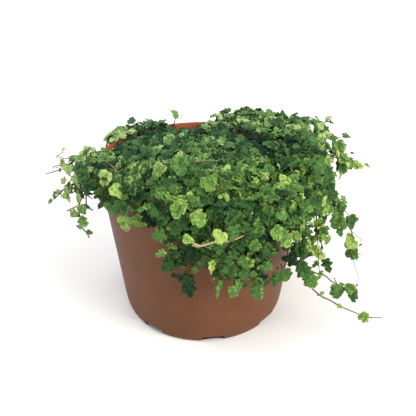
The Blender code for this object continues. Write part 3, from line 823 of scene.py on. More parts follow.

# %% [markdown]
# ## Finish of the leaves
#
# The youngest leaves are lime, then they turn a fresh mid green, and the old ones deep in the mat are dark,
# partly from age and partly as painted shade for the depth of the mat.
# A number called `tint` says where a leaf stands in that order. Some leaves have a pale margin, and lighter
# veins run from the stalk into the lobes. The veins are lines in the UV map: the distance to each line is
# found with a little trigonometry, and the nearest one wins. Towards the back left the greens turn a little
# bluer, as they do in the photograph.

# %% Finish of a leaf
QUILT_SCALE = 560
CRINKLE_PAINTED_LIGHT = 0.8
VEIN_SLOPES = (40, 82)
VEIN_START = 0.03
VEIN_CORE = 0.01
VEIN_EDGE = 0.04
VEIN_LIGHT = 0.12
LIGHT_TO_TINT = 0.6
UNDER_SHARE = 0.35
PAINTED_SKY_TINT = (0.96, 0.98, 1.6)
SKY_TINT_LEFTWARDS = 0.4
SKY_TINT_FROM = -0.06
SKY_TINT_TO = 0.05

leaf = Finish("fig_leaf", 0.56, gloss=0.10)
quilt = leaf.noise(QUILT_SCALE, 2)
# Painted light on the crinkles: blotches are lighter where the quilt bump rises and darker where it dips.
crinkle_painted_light = leaf.sum("MULTIPLY_ADD", quilt, CRINKLE_PAINTED_LIGHT, -CRINKLE_PAINTED_LIGHT / 2)
leaf_map = leaf.node("ShaderNodeUVMap", {"uv_map": "leaf_map"}).outputs[0]
split = leaf.node("ShaderNodeSeparateXYZ", Vector=leaf_map)
across = leaf.sum("ABSOLUTE", leaf.sum("MULTIPLY_ADD", split.outputs["X"], MAP_WIDTH, -MAP_WIDTH / 2))
along = leaf.sum("MULTIPLY_ADD", split.outputs["Y"], MAP_LENGTH, -MAP_START - VEIN_START)
vein = across
for slope in VEIN_SLOPES:
    angle = math.radians(slope)
    run = leaf.sum("MULTIPLY", across, math.cos(angle))
    rise = leaf.sum("MULTIPLY", along, math.sin(angle))
    vein = leaf.sum("MINIMUM", vein, leaf.sum("ABSOLUTE", leaf.sum("SUBTRACT", run, rise)))
vein = leaf.node(
    "ShaderNodeMapRange", Value=vein, From_Min=VEIN_CORE, From_Max=VEIN_EDGE, To_Min=1.0, To_Max=0.0
).outputs[0]
margin = leaf.node("ShaderNodeMapRange", Value=leaf.attribute("edge"), From_Min=0.5, From_Max=1.0).outputs[0]
pale_margin = leaf.sum("MULTIPLY", margin, leaf.attribute("paleness"))
lighter = leaf.sum("MULTIPLY_ADD", vein, VEIN_LIGHT, pale_margin)
tinted = leaf.sum("ADD", leaf.attribute("tint"), crinkle_painted_light)
green = leaf.ramp(
    leaf.sum("ADD", tinted, leaf.sum("MULTIPLY", lighter, LIGHT_TO_TINT)),
    [
        (0.00, srgb(11, 28, 15)),
        (0.22, srgb(22, 47, 23)),
        (0.48, srgb(46, 79, 36)),
        (0.70, srgb(70, 105, 48)),
        (0.88, srgb(97, 131, 59)),
        (1.00, srgb(146, 169, 88)),
    ],
)
# Painted reflection: towards the back left the greens get a bluish tint for the pale sky mirrored at a flat
# angle.
on_plant = leaf.tree.nodes.new("ShaderNodeTexCoord").outputs["Object"]
place = leaf.node("ShaderNodeSeparateXYZ", Vector=on_plant)
backwards = leaf.sum("MULTIPLY_ADD", place.outputs["X"], -SKY_TINT_LEFTWARDS, place.outputs["Y"])
painted_sky_share = leaf.node("ShaderNodeMapRange", Value=backwards, From_Min=SKY_TINT_FROM, From_Max=SKY_TINT_TO).outputs[0]
green = leaf.mix(painted_sky_share, green, PAINTED_SKY_TINT, "MULTIPLY")
green = leaf.mix(leaf.sum("MULTIPLY", leaf.attribute("under"), UNDER_SHARE), green, srgb(84, 108, 66))
green = leaf.mix(leaf.attribute("stalk"), green, srgb(72, 76, 36))
leaf.put("Base Color", green)
leaf.bump(leaf.sum("SUBTRACT", quilt, leaf.sum("MULTIPLY", vein, 0.2)), 0.0016, 0.8)
print("nodes in the leaf finish:", len(leaf.tree.nodes))

# %% Finish of a stem
stem = Finish("creeping_stem", 0.7, gloss=0.3)
bark_colour = stem.ramp(
    stem.attribute("bark"),
    [(0.0, srgb(34, 29, 18)), (0.4, srgb(56, 54, 28)), (0.7, srgb(90, 94, 46)), (1.0, srgb(190, 172, 128))],
)
flecks = stem.noise(900, 3)
bark_colour = stem.mix(stem.sum("MULTIPLY", flecks, 0.35), bark_colour, srgb(40, 34, 20))
stem.put("Base Color", bark_colour)
stem.bump(flecks, 0.0002, 0.6)
print("nodes in the stem finish:", len(stem.tree.nodes))

# %% [markdown]
# ## The shape of the plant
#
# Seven rooted cuttings fill the pot: one in the middle and six round it. Their stems creep over each other
# into a mat. Its top lies just below the rim at the back left, apart from one place where it comes over it,
# and climbs well over the rim at the back right. It is lumpy, with low hollows between small mounds. The
# heights below follow the frame's solids, so the fine plants stay in their places.
#
# The leaves aren't equally old all over. They are youngest along the back, on both sides and at places on
# the front rim, and older ones lie in between. A table of round patches says where, and its patches also
# paint some shade and light. Leaves on the mounds are painted lighter and those in the hollows darker, as
# painted light and shade.

# %% Height of the mat
PLANT_PLACES = [
    (40, 0.005), (24, 0.045), (84, 0.049), (143, 0.046), (-155, 0.048), (-94, 0.045), (-36, 0.049),
]
LIFT_BY_BEARING = [
    (-180, -0.003), (-166, -0.0045), (-157, -0.004), (-149, -0.0015), (-139, 0.002), (-129, -0.003),
    (-121, 0.0), (-110, 0.0), (-90, 0.001), (-67, 0.002), (-45, 0.003), (0, 0.004), (45, 0.007),
    (90, 0.01), (135, 0.011), (157, 0.012), (165, 0.008), (170, 0.001), (180, -0.003),
]
MIDDLE_LIFT = 0.008
MAT_RADIUS = 0.0735
LUMPS = 0.0033


def lump(point):
    """Mounds and hollows of the mat, from 1 to -1, as a wide and a fine pattern of crossing waves."""
    wide = math.sin(point.x / 0.0078 + 0.8) * math.sin(point.y / 0.0086 + 0.3 + point.x / 0.03)
    return 0.7 * wide + 0.3 * math.sin(point.x / 0.0031 + 2) * math.sin(point.y / 0.0036)


def mat_top(point):
    """Height of the highest leaves over a place in the plan."""
    rim_lift = read_curve(LIFT_BY_BEARING, bearing_of(point))
    outward = min(math.hypot(point.x, point.y) / MAT_RADIUS, 1.0) ** 2
    return POT_HEIGHT + MIDDLE_LIFT * (1 - outward) + rim_lift * outward + LUMPS * lump(point)


back_right = mat_top(at(135, MAT_RADIUS)) - POT_HEIGHT
print("mat over the rim at the back right, mm:", round(1000 * back_right, 1))

# %% Age of the leaves, and whose they are
# Darker and lighter patches in the plan, partly older and younger leaves and partly painted shade and light:
# place and reach in mm, and how much lighter the leaves are there
PATCHES = [
    (-56, 6, 13, -0.28), (60, 6, 19, -0.2), (43, 14, 15, -0.14), (33, 26, 11, -0.14),
    (-27, -54, 8, -0.14), (95, 12, 20, 0.22), (45, 64, 16, 0.46), (14, 70, 13, 0.44),
    (-22, -40, 14, 0.08), (-4, -72, 20, 0.16), (40, -56, 20, 0.12), (-84, 4, 22, 0.34),
]
PAINTED_LIGHT_ON_MOUNDS = 0.14


def patch(point):
    """How much lighter the leaves are at a place in the plan than elsewhere, from age and from painted light
    and shade.
    """
    # Painted light and shade: leaves on the mounds are lighter and those in the hollows darker.
    age_and_light = PAINTED_LIGHT_ON_MOUNDS * lump(point)
    for x, y, reach, change in PATCHES:
        age_and_light += change * math.exp(-((1000 * point.x - x) ** 2 + (1000 * point.y - y) ** 2) / reach**2)
    return age_and_light


plant_sites = [at(bearing, radius) for bearing, radius in PLANT_PLACES]


def plant_nearest(point):
    """The number of the plant whose root is nearest in the plan."""
    flat = Vector((point.x, point.y, 0))
    return min(range(len(plant_sites)), key=lambda index: (plant_sites[index] - flat).length)


print("how much younger in the middle of the back:", round(patch(at(180, MAT_RADIUS)), 2))

# %% [markdown]
# ## Stems
#
# A stem is a line of points with a few numbers on each: which way its leaves face, how long they are, how
# young they are, how thick the stem is, and how far its leaves may stray from their direction.
#
# Leaves face up where a stem creeps, and outwards where it hangs, so the facing is a mix of up and outwards
# with the part along the stem taken away. Leaves at the front and the sides also turn a little towards the
# front, where this plant had its light.

# %% A bed of stems for each plant
STEM_WIDTH = 0.00046
OUTWARD_SHARE = 0.75
LIGHT_SHARE = 0.8
LIGHT_START = 1.3
LIGHT_FADE = 0.06
OFF_STEM = 0.9
TAPER = 0.3


def leaf_facing(place, along):
    """The way that leaves face at a place on a stem."""
    lit = LIGHT_SHARE * min(max(LIGHT_START - place.y / LIGHT_FADE, 0.0), 1.0)
    wanted = Vector((place.x, place.y, 0)) * (OUTWARD_SHARE / RIM_RADIUS) + Vector((0, -lit, 1))
    return (wanted - OFF_STEM * along * wanted.dot(along)).normalized()


class Bed:
    """The stems of one plant, as a mesh of points and edges with numbers on the points."""

    NUMBERS = ("leaf_size", "youth", "leafy", "width", "bark", "pale", "stray", "form")

    def __init__(self):
        self.points, self.edges, self.facings = [], [], []
        self.numbers = {label: [] for label in self.NUMBERS}

    def add(
        self, route, leaf_size, youth, leafy,
        width=1.0, bark=(0.0, 0.6), pale=0.0, stray=1.0, facing=None, form=-1,
    ):
        """Adds a stem. Its age and painted shade, and its bark, run from root to tip, and leafy is the share
        of it with leaves.
        """
        first, last = len(self.points), len(route) - 1
        for index, place in enumerate(route):
            share = index / last
            along = (route[min(index + 1, last)] - route[max(index - 1, 0)]).normalized()
            self.points.append(place)
            self.facings.append(facing or leaf_facing(place, along))
            one_of_many = stray == 1.0
            # Except on single leaves and twigs, the age patches, painted light on mounds and painted shade
            # in hollows are added.
            values = {
                "leaf_size": leaf_size * (1 - TAPER * share**3 * one_of_many),
                "youth": youth[0] + (youth[1] - youth[0]) * share + patch(place) * one_of_many,
                "leafy": float(leafy[0] <= share <= leafy[1]),
                "width": STEM_WIDTH * width * (1 - TAPER * share),
                "bark": bark[0] + (bark[1] - bark[0]) * share,
                "pale": pale,
                "stray": stray,
                "form": form,
            }
            for label, value in values.items():
                self.numbers[label].append(value)
        self.edges += [(first + index, first + index + 1) for index in range(last)]

    def as_object(self, name):
        """The stems as an object, ready for a recipe."""
        mesh = bpy.data.meshes.new(name)
        mesh.from_pydata([tuple(point) for point in self.points], self.edges, [])
        for label, values in self.numbers.items():
            mesh.attributes.new(label, "FLOAT", "POINT").data.foreach_set("value", values)
        flat = [value for facing in self.facings for value in facing]
        mesh.attributes.new("facing", "FLOAT_VECTOR", "POINT").data.foreach_set("vector", flat)
        made = bpy.data.objects.new(name, mesh)
        scene.collection.objects.link(made)
        return made


beds = [Bed() for _ in plant_sites]
print("beds:", len(beds))

# %% [markdown]
# ### Creepers
#
# Creepers wander over the mat from each root, and turn along the wall where they meet it. They lie in four
# layers, with twice as many in the top one, so that dark old leaves fill the gaps between the young ones.
# The deeper layers are also painted darker, as painted shade deep in the mat.

# %% Creepers
CREEPERS = 60
CREEP_STEP = 0.004
CREEP_LENGTH = (0.045, 0.105)
UNDER_LEAVES = 0.0032
LAYERS = (0.0, 0.0, 0.0025, 0.006, 0.010)
MAT_LEAF = 0.0076
LEAF_SIZES = (0.8, 1.15)
INSIDE_WALL = 0.0685
ON_RIM = 0.0775
FURTHER_OUT = 1.5
ROOTED = 0.004
OVER_SOIL = 0.002
UNEVEN_LAYER = 0.0012
STEADY_TURN = 3
WANDERING = 11
TOP_YOUTH = 0.47
AGE_AND_SHADE_BY_DEPTH = 52
OLDER_BACKWARDS = 0.8
AGE_SPREAD = 0.12
YOUNGER_TIP = 0.14


def mat_edge(point):
    """How far out a creeper may go: onto the rim where the mat is high, and else short of the wall."""
    over = mat_top(point * (MAT_RADIUS / point.length)) - POT_HEIGHT
    return min(max(INSIDE_WALL + FURTHER_OUT * over, INSIDE_WALL), ON_RIM)


def creeper(site, depth, draw):
    """Places along a stem that wanders from its root, some depth below the top of the mat."""
    heading = draw.uniform(0, 360)
    place = Vector((site.x, site.y, 0))
    route = [Vector((site.x, site.y, SOIL_TOP - ROOTED))]
    turning = draw.gauss(0, STEADY_TURN)
    for _ in range(int(draw.uniform(*CREEP_LENGTH) / CREEP_STEP)):
        place = place + at(heading, CREEP_STEP)
        heading += turning + draw.gauss(0, WANDERING)
        edge = mat_edge(place)
        if place.length > edge:
            place = place * (edge / place.length)
            along_wall = 90 if (heading - bearing_of(place)) % 360 < 180 else -90
            heading = bearing_of(place) + along_wall
        height = mat_top(place) - UNDER_LEAVES - depth + draw.uniform(-UNEVEN_LAYER, UNEVEN_LAYER)
        route.append(Vector((place.x, place.y, max(height, SOIL_TOP + OVER_SOIL))))
    return route


for number, site in enumerate(plant_sites):
    draw = random.Random(100 + number)
    for index in range(CREEPERS if number else CREEPERS * 2 // 3):
        depth = LAYERS[index % len(LAYERS)]
        route = creeper(site, depth, draw)
        # Deeper layers are darker: their leaves are older, and painted shade darkens them further deep in
        # the mat.
        youth = TOP_YOUTH - depth * AGE_AND_SHADE_BY_DEPTH - site.y * OLDER_BACKWARDS
        youth += draw.uniform(-AGE_SPREAD, AGE_SPREAD)
        size = MAT_LEAF * draw.uniform(*LEAF_SIZES)
        beds[number].add(route, size, (youth, youth + YOUNGER_TIP), leafy=(0.1, 1.0))
print("points in the creepers:", sum(len(bed.points) for bed in beds))

# %% [markdown]
# ### The drape and the trailers
#
# Stems hang over the front of the rim side by side, and the bearing decides how far down they reach. The
# longest hang in the middle of the front and a little right of it, and those at the sides are short.
#
# Trailers that give the plant its outline are drawn point by point. Most of them have shorter companions,
# which start beside them and follow them part of the way. The spray on the left has smaller leaves.

# %% Drape
SHOULDER_RADIUS = 0.070
START_RADIUS = 0.056
START_DEPTH = 0.009
SHOULDER_DEPTH = 0.004
CLEAR_OF_LIP = 0.002
OVER_RIM = 0.0035
DRAPE_FOOT = [
    (-75, 0.121), (-52, 0.119), (-47, 0.117), (-42, 0.122), (-30, 0.124), (-22, 0.124), (-18, 0.118),
    (-15, 0.1), (-11, 0.08), (-8, 0.07), (-4, 0.082), (2, 0.08), (8, 0.072), (14, 0.066), (22, 0.063),
    (30, 0.065), (33, 0.082), (36, 0.096), (46, 0.098), (52, 0.106), (66, 0.106), (90, 0.107),
    (125, 0.112), (160, 0.117),
]


def over_the_rim(bearing, lift):
    """The part of a stem from the mat to just outside the rim."""
    start = at(bearing, START_RADIUS)
    start.z = mat_top(start) - START_DEPTH
    shoulder = at(bearing, SHOULDER_RADIUS)
    shoulder.z = max(mat_top(shoulder) - SHOULDER_DEPTH, POT_HEIGHT + CLEAR_OF_LIP)
    return [start, shoulder, at(bearing, RIM_RADIUS + OVER_RIM, POT_HEIGHT + lift)]


def plant_under(bearing):
    """The bed of the plant whose stems leave the pot at a bearing."""
    return beds[plant_nearest(at(bearing, START_RADIUS))]


print("how a stem leaves the pot at the front:", over_the_rim(0, 0))

# %% Hang the drape
DRAPE_LEAF = 0.0081
DRAPE_SPACING = 1.7
SPACING_SPREAD = (0.7, 1.3)
BEARING_SPREAD = 1.2
TIP_SWING = 4
DRAPE_LIFT = (0.001, 0.005)
DRAPE_POINTS = 22
HIGHEST_FOOT = 0.128
FOOT_SPREAD = 0.009
RIM_GAP = 0.0025
DRAPE_DEPTH = 0.007
SHALLOW_FOOT = 0.126
SHALLOW_FADE = 0.02
BULGE = 0.002
DRAPE_YOUTH = 0.12
OUTER_PAINTED_LIGHT = 0.32
DRAPE_AGES = 0.14
HANGING_TIP = 0.2

draw = random.Random(31)
bearing = DRAPE_FOOT[0][0]
while bearing < DRAPE_FOOT[-1][0]:
    place = bearing + draw.uniform(-BEARING_SPREAD, BEARING_SPREAD)
    foot = min(read_curve(DRAPE_FOOT, place) + abs(draw.gauss(0, FOOT_SPREAD)), HIGHEST_FOOT)
    outer = draw.random()
    radius = RIM_RADIUS + RIM_GAP + DRAPE_DEPTH * outer * min((SHALLOW_FOOT - foot) / SHALLOW_FADE, 1)
    tip_bearing = place + draw.uniform(-TIP_SWING, TIP_SWING)
    guides = over_the_rim(place, draw.uniform(*DRAPE_LIFT))
    guides.append(at((place + tip_bearing) / 2, radius + BULGE, (POT_HEIGHT + foot) / 2))
    guides.append(at(tip_bearing, radius, foot))
    # Stems further out are lighter and those near the wall darker, as painted shade in the depth of the
    # drape.
    youth = DRAPE_YOUTH + OUTER_PAINTED_LIGHT * outer + draw.uniform(-DRAPE_AGES, DRAPE_AGES)
    size = DRAPE_LEAF * draw.uniform(*LEAF_SIZES)
    route = smooth_route(guides, DRAPE_POINTS)
    plant_under(place).add(route, size, (youth, youth + HANGING_TIP), leafy=(0.2, 1.0))
    bearing += DRAPE_SPACING * draw.uniform(*SPACING_SPREAD)
print("points after the drape:", sum(len(bed.points) for bed in beds))

# %% Trailers
# Bearing at the rim, lift over it, companions, share with leaves, youth, and places outside the rim in mm
TRAILERS = [
    (-96, 0.002, 3, (0.2, 0.74), 0.7, [
        (-89, 6, 118), (-96, 5, 115.5), (-102, 5, 111), (-108, 5, 108.5), (-118, 5, 105.5),
    ]),
    (-98, 0.002, 0, (0.3, 0.85), 0.56, [(-84, 12, 119), (-88, 12, 118)]),
    (-89, 0.004, 1, (0.2, 1.0), 0.72, [
        (-90, -4, 112), (-97, -8, 106), (-102, -10, 100), (-108, -10, 94), (-110, -10, 92),
    ]),
    (-84, 0.003, 1, (0.2, 0.9), 0.7, [
        (-86, -9, 114), (-91, -11, 107), (-95, -12, 104), (-96, -12, 100), (-99, -12, 97),
        (-102, -12, 93.5),
    ]),
    (-79, 0.003, 1, (0.2, 1.0), 0.72, [
        (-86, -16, 111), (-88, -16, 105), (-92, -16, 102), (-97, -16, 100),
    ]),
    (-76, 0.002, 0, (0.2, 0.8), 0.42, [(-85, -20, 108), (-87, -20, 99), (-90, -20, 93), (-99, -20, 88)]),
    (-70, 0.002, 0, (0.2, 0.75), 0.36, [(-81, -30, 108), (-82, -30, 98), (-83, -30, 94), (-87, -30, 93)]),
    (-64, 0.002, 0, (0.2, 0.85), 0.74, [
        (-80, -37, 112), (-85, -38, 104), (-85, -40, 96), (-84, -42, 88), (-81, -43, 84), (-79, -44, 80),
    ]),
    (-124, 0.002, 9, (0.34, 1.0), 0.78, [(-68, 45, 119.5), (-70, 47, 116)]),
    (-146, 0.0, 5, (0.1, 1.0), 0.46, [(-48, 70, 117), (-49, 73, 113)]),
    (-139, 0.003, 4, (0.3, 1.0), 0.56, [(-56, 64, 119.5), (-57, 66, 114.5)]),
    (-160, -0.003, 1, (0.6, 1.0), 0.25, [(-30, 81, 114), (-33, 84, 108)]),
    (167, 0.003, 3, (0.1, 1.0), 0.4, [(19, 86, 115), (17, 90, 104)]),
    (154, 0.009, 4, (0.1, 1.0), 0.5, [(40, 84, 124), (48, 87, 118), (51, 86, 110)]),
    (136, 0.01, 4, (0.1, 1.0), 0.46, [(64, 66, 126), (69, 75, 116), (69, 79, 102)]),
    (122, 0.012, 5, (0.1, 1.0), 0.58, [(80, 50, 128), (92, 55, 127), (97, 53, 126.5)]),
    (110, 0.011, 4, (0.1, 1.0), 0.64, [(86, 30, 127), (97, 28, 124), (104, 27, 119)]),
    (103, 0.009, 5, (0.1, 1.0), 0.6, [
        (89, 20, 120), (97, 20, 114), (105, 20, 111), (112, 20, 109.5), (122, 20, 105),
    ]),
    (94, 0.007, 3, (0.1, 1.0), 0.5, [(86, 5, 117), (90, 5, 111), (95, 5, 106)]),
    (85, 0.006, 3, (0.1, 1.0), 0.48, [(86, -7, 116), (88, -8, 108), (90, -10, 101)]),
    (82, 0.005, 3, (0.1, 0.55), 0.5, [
        (85, -11, 112), (89, -11, 99), (93, -11, 93), (96, -11, 86), (102, -11, 80), (107, -11, 73),
        (113, -11, 63), (114, -12, 50), (118, -12, 46), (119, -12, 39),
    ]),
    (77, 0.005, 2, (0.1, 1.0), 0.52, [
        (83, -19, 110), (86, -19, 98), (93, -16, 90), (97, -15, 81), (100, -15, 72),
    ]),
    (72, 0.005, 0, (0.1, 1.0), 0.54, [(82, -26, 108), (83, -27, 96), (84, -28, 84), (88, -28, 73)]),
    (68, 0.005, 1, (0.1, 0.9), 0.5, [
        (80, -32, 106), (80, -33, 90), (82, -33, 77), (86, -33, 67), (84, -33, 58),
    ]),
    (61, 0.005, 1, (0.1, 1.0), 0.56, [(73, -42, 106), (74, -42, 92), (74, -42, 82)]),
    (53, 0.004, 0, (0.1, 0.45), 0.3, [
        (67, -51, 106), (66, -51, 92), (66, -51, 80), (69, -50, 68), (73, -50, 59), (80, -50, 54.5),
        (87, -50, 52), (91, -50, 48), (97, -50, 44), (102, -50, 41), (108, -50, 38.5),
    ]),
    (44, 0.004, 0, (0.1, 0.36), 0.3, [
        (58, -61, 106), (58, -61, 92), (59, -61, 82), (61, -60, 74), (64, -60, 68), (71, -60, 56),
        (77, -60, 48), (83, -60, 42), (90, -60, 38), (96, -60, 34), (101, -60, 31), (110, -60, 26.5),
        (117, -60, 23), (130, -60, 22),
    ]),
]
print("trailers:", len(TRAILERS))

# %% Hang the trailers and their companions
MM = 0.001
TRAILER_LEAF = 0.0082
LEFT_LEAF = 0.0068
LEFT_SPRAY = (-100, -60)
POINTS_PER_GUIDE = 6
COMPANION_SWING = 6
COMPANION_RADIUS = 0.083
COMPANION_SHIFT = 0.8
COMPANION_LEAVES = (0.75, 1.1)
COMPANION_AGES = 0.16
COMPANION_LIFT = 0.002
MOST_FOLLOWED = 5
LOOSER_BY_PLACE = 0.0016
CLEAR_RADIUS = RIM_RADIUS + 0.003


def companion(bearing, lift, outside, draw):
    """Guides for a stem that starts beside a trailer and follows it part of the way."""
    kept = draw.randint(1, min(max(len(outside) - 1, 1), MOST_FOLLOWED))
    swing = draw.uniform(-COMPANION_SWING, COMPANION_SWING)
    shift = at(bearing + swing, COMPANION_RADIUS) - at(bearing, COMPANION_RADIUS)
    guides = over_the_rim(bearing + swing, lift + draw.uniform(-COMPANION_LIFT, COMPANION_LIFT))
    for number, place in enumerate(outside[:kept], start=1):
        stray = Vector([draw.gauss(0, LOOSER_BY_PLACE * number) for _ in range(3)])
        moved = place + shift * COMPANION_SHIFT + stray
        flat = math.hypot(moved.x, moved.y)
        if flat < CLEAR_RADIUS:
            moved = Vector((moved.x, moved.y, 0)) * (CLEAR_RADIUS / flat) + Vector((0, 0, moved.z))
        guides.append(moved)
    return guides


def hang(bearing, guides, leaf_size, youth, leafy, **others):
    """Adds a hanging stem to the plant that it comes from."""
    route = smooth_route(guides, POINTS_PER_GUIDE * len(guides))
    plant_under(bearing).add(route, leaf_size, (youth, youth + HANGING_TIP), leafy=leafy, **others)


for bearing, lift, companions, leafy, youth, places in TRAILERS:
    outside = [Vector(place) * MM for place in places]
    usual = LEFT_LEAF if LEFT_SPRAY[0] < bearing < LEFT_SPRAY[1] else TRAILER_LEAF
    guides = over_the_rim(bearing, lift) + outside
    hang(bearing, guides, usual, youth, leafy, width=1.4, bark=(0.2, 0.75))
    for _ in range(companions):
        guides = companion(bearing, lift, outside, draw)
        near_age_and_shade = youth + draw.uniform(-COMPANION_AGES, COMPANION_AGES)
        size = usual * draw.uniform(*COMPANION_LEAVES)
        hang(bearing, guides, size, near_age_and_shade, (max(leafy[0], 0.1), 1.0))
print("points after the trailers:", sum(len(bed.points) for bed in beds))

# %% [markdown]
# ### Sprigs, twigs and single leaves
#
# Small upright sprigs stand at the back right of the mat, placed at random. A few other things catch the
# eye and are placed one by one: pale dry twigs on the mat, a curled tendril, a broken twig at the front, and
# the largest or brightest leaves. Such a leaf grows from a short stem of its own. It is tilted up a
# little and brought two to six millimetres towards the camera, so that no other leaf hides it.

# %% Upright sprigs
UPRIGHT_SPRIGS = 26
SPRIG_BEARINGS = (132, 167)
SPRIG_RADII = (0.055, 0.077)
SPRIG_HEIGHTS = (0.005, 0.010)
SPRIG_LEAN = 0.003
SPRIG_BEND = 0.001
SPRIG_DEPTH = 0.006
SPRIG_TOP = 0.1270
SPRIG_POINTS = 8
SPRIG_LEAF = 0.0062

draw = random.Random(57)
for _ in range(UPRIGHT_SPRIGS):
    foot = at(draw.uniform(*SPRIG_BEARINGS), draw.uniform(*SPRIG_RADII))
    foot.z = mat_top(foot) - SPRIG_DEPTH
    top = foot + Vector((draw.gauss(0, SPRIG_LEAN), draw.gauss(0, SPRIG_LEAN), 0))
    top.z = min(foot.z + draw.uniform(*SPRIG_HEIGHTS), SPRIG_TOP)
    middle = (foot + top) / 2 + Vector((draw.gauss(0, SPRIG_BEND), draw.gauss(0, SPRIG_BEND), 0))
    route = smooth_route([foot, middle, top], SPRIG_POINTS)
    size = SPRIG_LEAF * draw.uniform(0.8, 1.2)
    beds[plant_nearest(foot)].add(route, size, (0.75, 1.0), leafy=(0.2, 1.0), bark=(0.4, 0.8))
print("points after the sprigs:", sum(len(bed.points) for bed in beds))

# %% Twigs and tendrils
# Width, colour of the bark, and places in mm. A tendril with leaves also has their length in mm, their youth
# at its root and tip, and the share of it that is bare.
TWIGS = [
    (1.3, (0.3, 0.4), [(-27, 70, 110), (-25, 72, 118), (-24, 72, 121.5), (-23.3, 72, 124)]),
    (0.8, (0.3, 0.5), [(-23.3, 72, 123.8), (-21, 72, 124.2), (-18.4, 72, 124.4), (-18.1, 72, 128.5)]),
    (0.8, (0.3, 0.5), [(-70, 44, 114), (-72.5, 45, 120), (-75, 45, 125)]),
    (0.8, (0.2, 0.3), [(-63, 47, 114), (-64.5, 50, 120), (-63.6, 50, 126)]),
    (0.6, (0.2, 0.2), [
        (97, 35, 122), (100, 35, 124), (104, 35, 122), (105, 35, 118),
    ], 3.0, (0.2, 0.3), 0.97),
    (0.8, (0.7, 0.8), [(92, -12, 95), (96, -12, 95.5), (99, -12, 94)], 6.5, (0.75, 0.9), 0.9),
    (0.5, (0.3, 0.8), [
        (114, -12, 50), (116, -17, 40), (119, -17, 32), (121, -17, 25), (119, -18, 15),
    ], 2.5, (0.2, 0.3), 0.98),
    (0.6, (0.1, 0.2), [
        (112, -12, 66), (117, -14, 62), (120, -14, 60), (119, -14, 57),
    ], 3.0, (0.1, 0.2), 0.97),
    (1.7, (1.1, 0.85), [
        (-6, -91, 105), (-2, -92, 104.5), (4, -93, 107), (9, -93, 108.5), (14, -93, 108.5),
        (19, -92, 109), (25, -88, 109.5),
    ]),
    (1.5, (1.1, 1.0), [(-6.5, -91, 107.5), (-4, -92, 106), (-1, -92, 105)]),
    (1.0, (0.85, 0.95), [(-46, -20, 122), (-30, -20, 126), (-13, -20, 127)]),
    (1.0, (0.75, 0.85), [(-12, -21, 126.5), (6, -20, 128.5), (12, -19, 126)]),
    (1.1, (0.85, 0.95), [(-67, -10, 121), (-62, -18, 121), (-59, -26, 119)]),
    (1.0, (0.8, 0.9), [(-54, -40, 120), (-46, -52, 121), (-38, -60, 120)]),
    (1.2, (0.5, 0.7), [(2, -68, 125), (9, -60, 127), (16, -55, 126)]),
    (1.3, (0.8, 0.9), [(54, -2, 128), (55, 5, 129.5), (52, 12, 129)]),
    (1.0, (0.7, 0.8), [(63, -18, 128), (60, -30, 127), (64, -38, 125)]),
    (1.0, (0.3, 0.5), [
        (57, -60, 100), (57, -64, 90), (56, -68, 81), (54.5, -68.5, 73.5), (50, -73, 74.5),
    ]),
]
NO_LEAVES = (4.0, (0.9, 0.9), 2.0)
TWIG_STRAY = 0.4
POINTS_PER_TWIG_GUIDE = 5

for width, bark, places, *leaves in TWIGS:
    length, youth, bare_share = leaves or NO_LEAVES
    route = smooth_route([Vector(place) * MM for place in places], POINTS_PER_TWIG_GUIDE * len(places))
    beds[plant_nearest(route[0])].add(
        route, length * MM, youth, leafy=(bare_share, 1.0), width=width, bark=bark, stray=TWIG_STRAY
    )
print("points after the twigs:", sum(len(bed.points) for bed in beds))

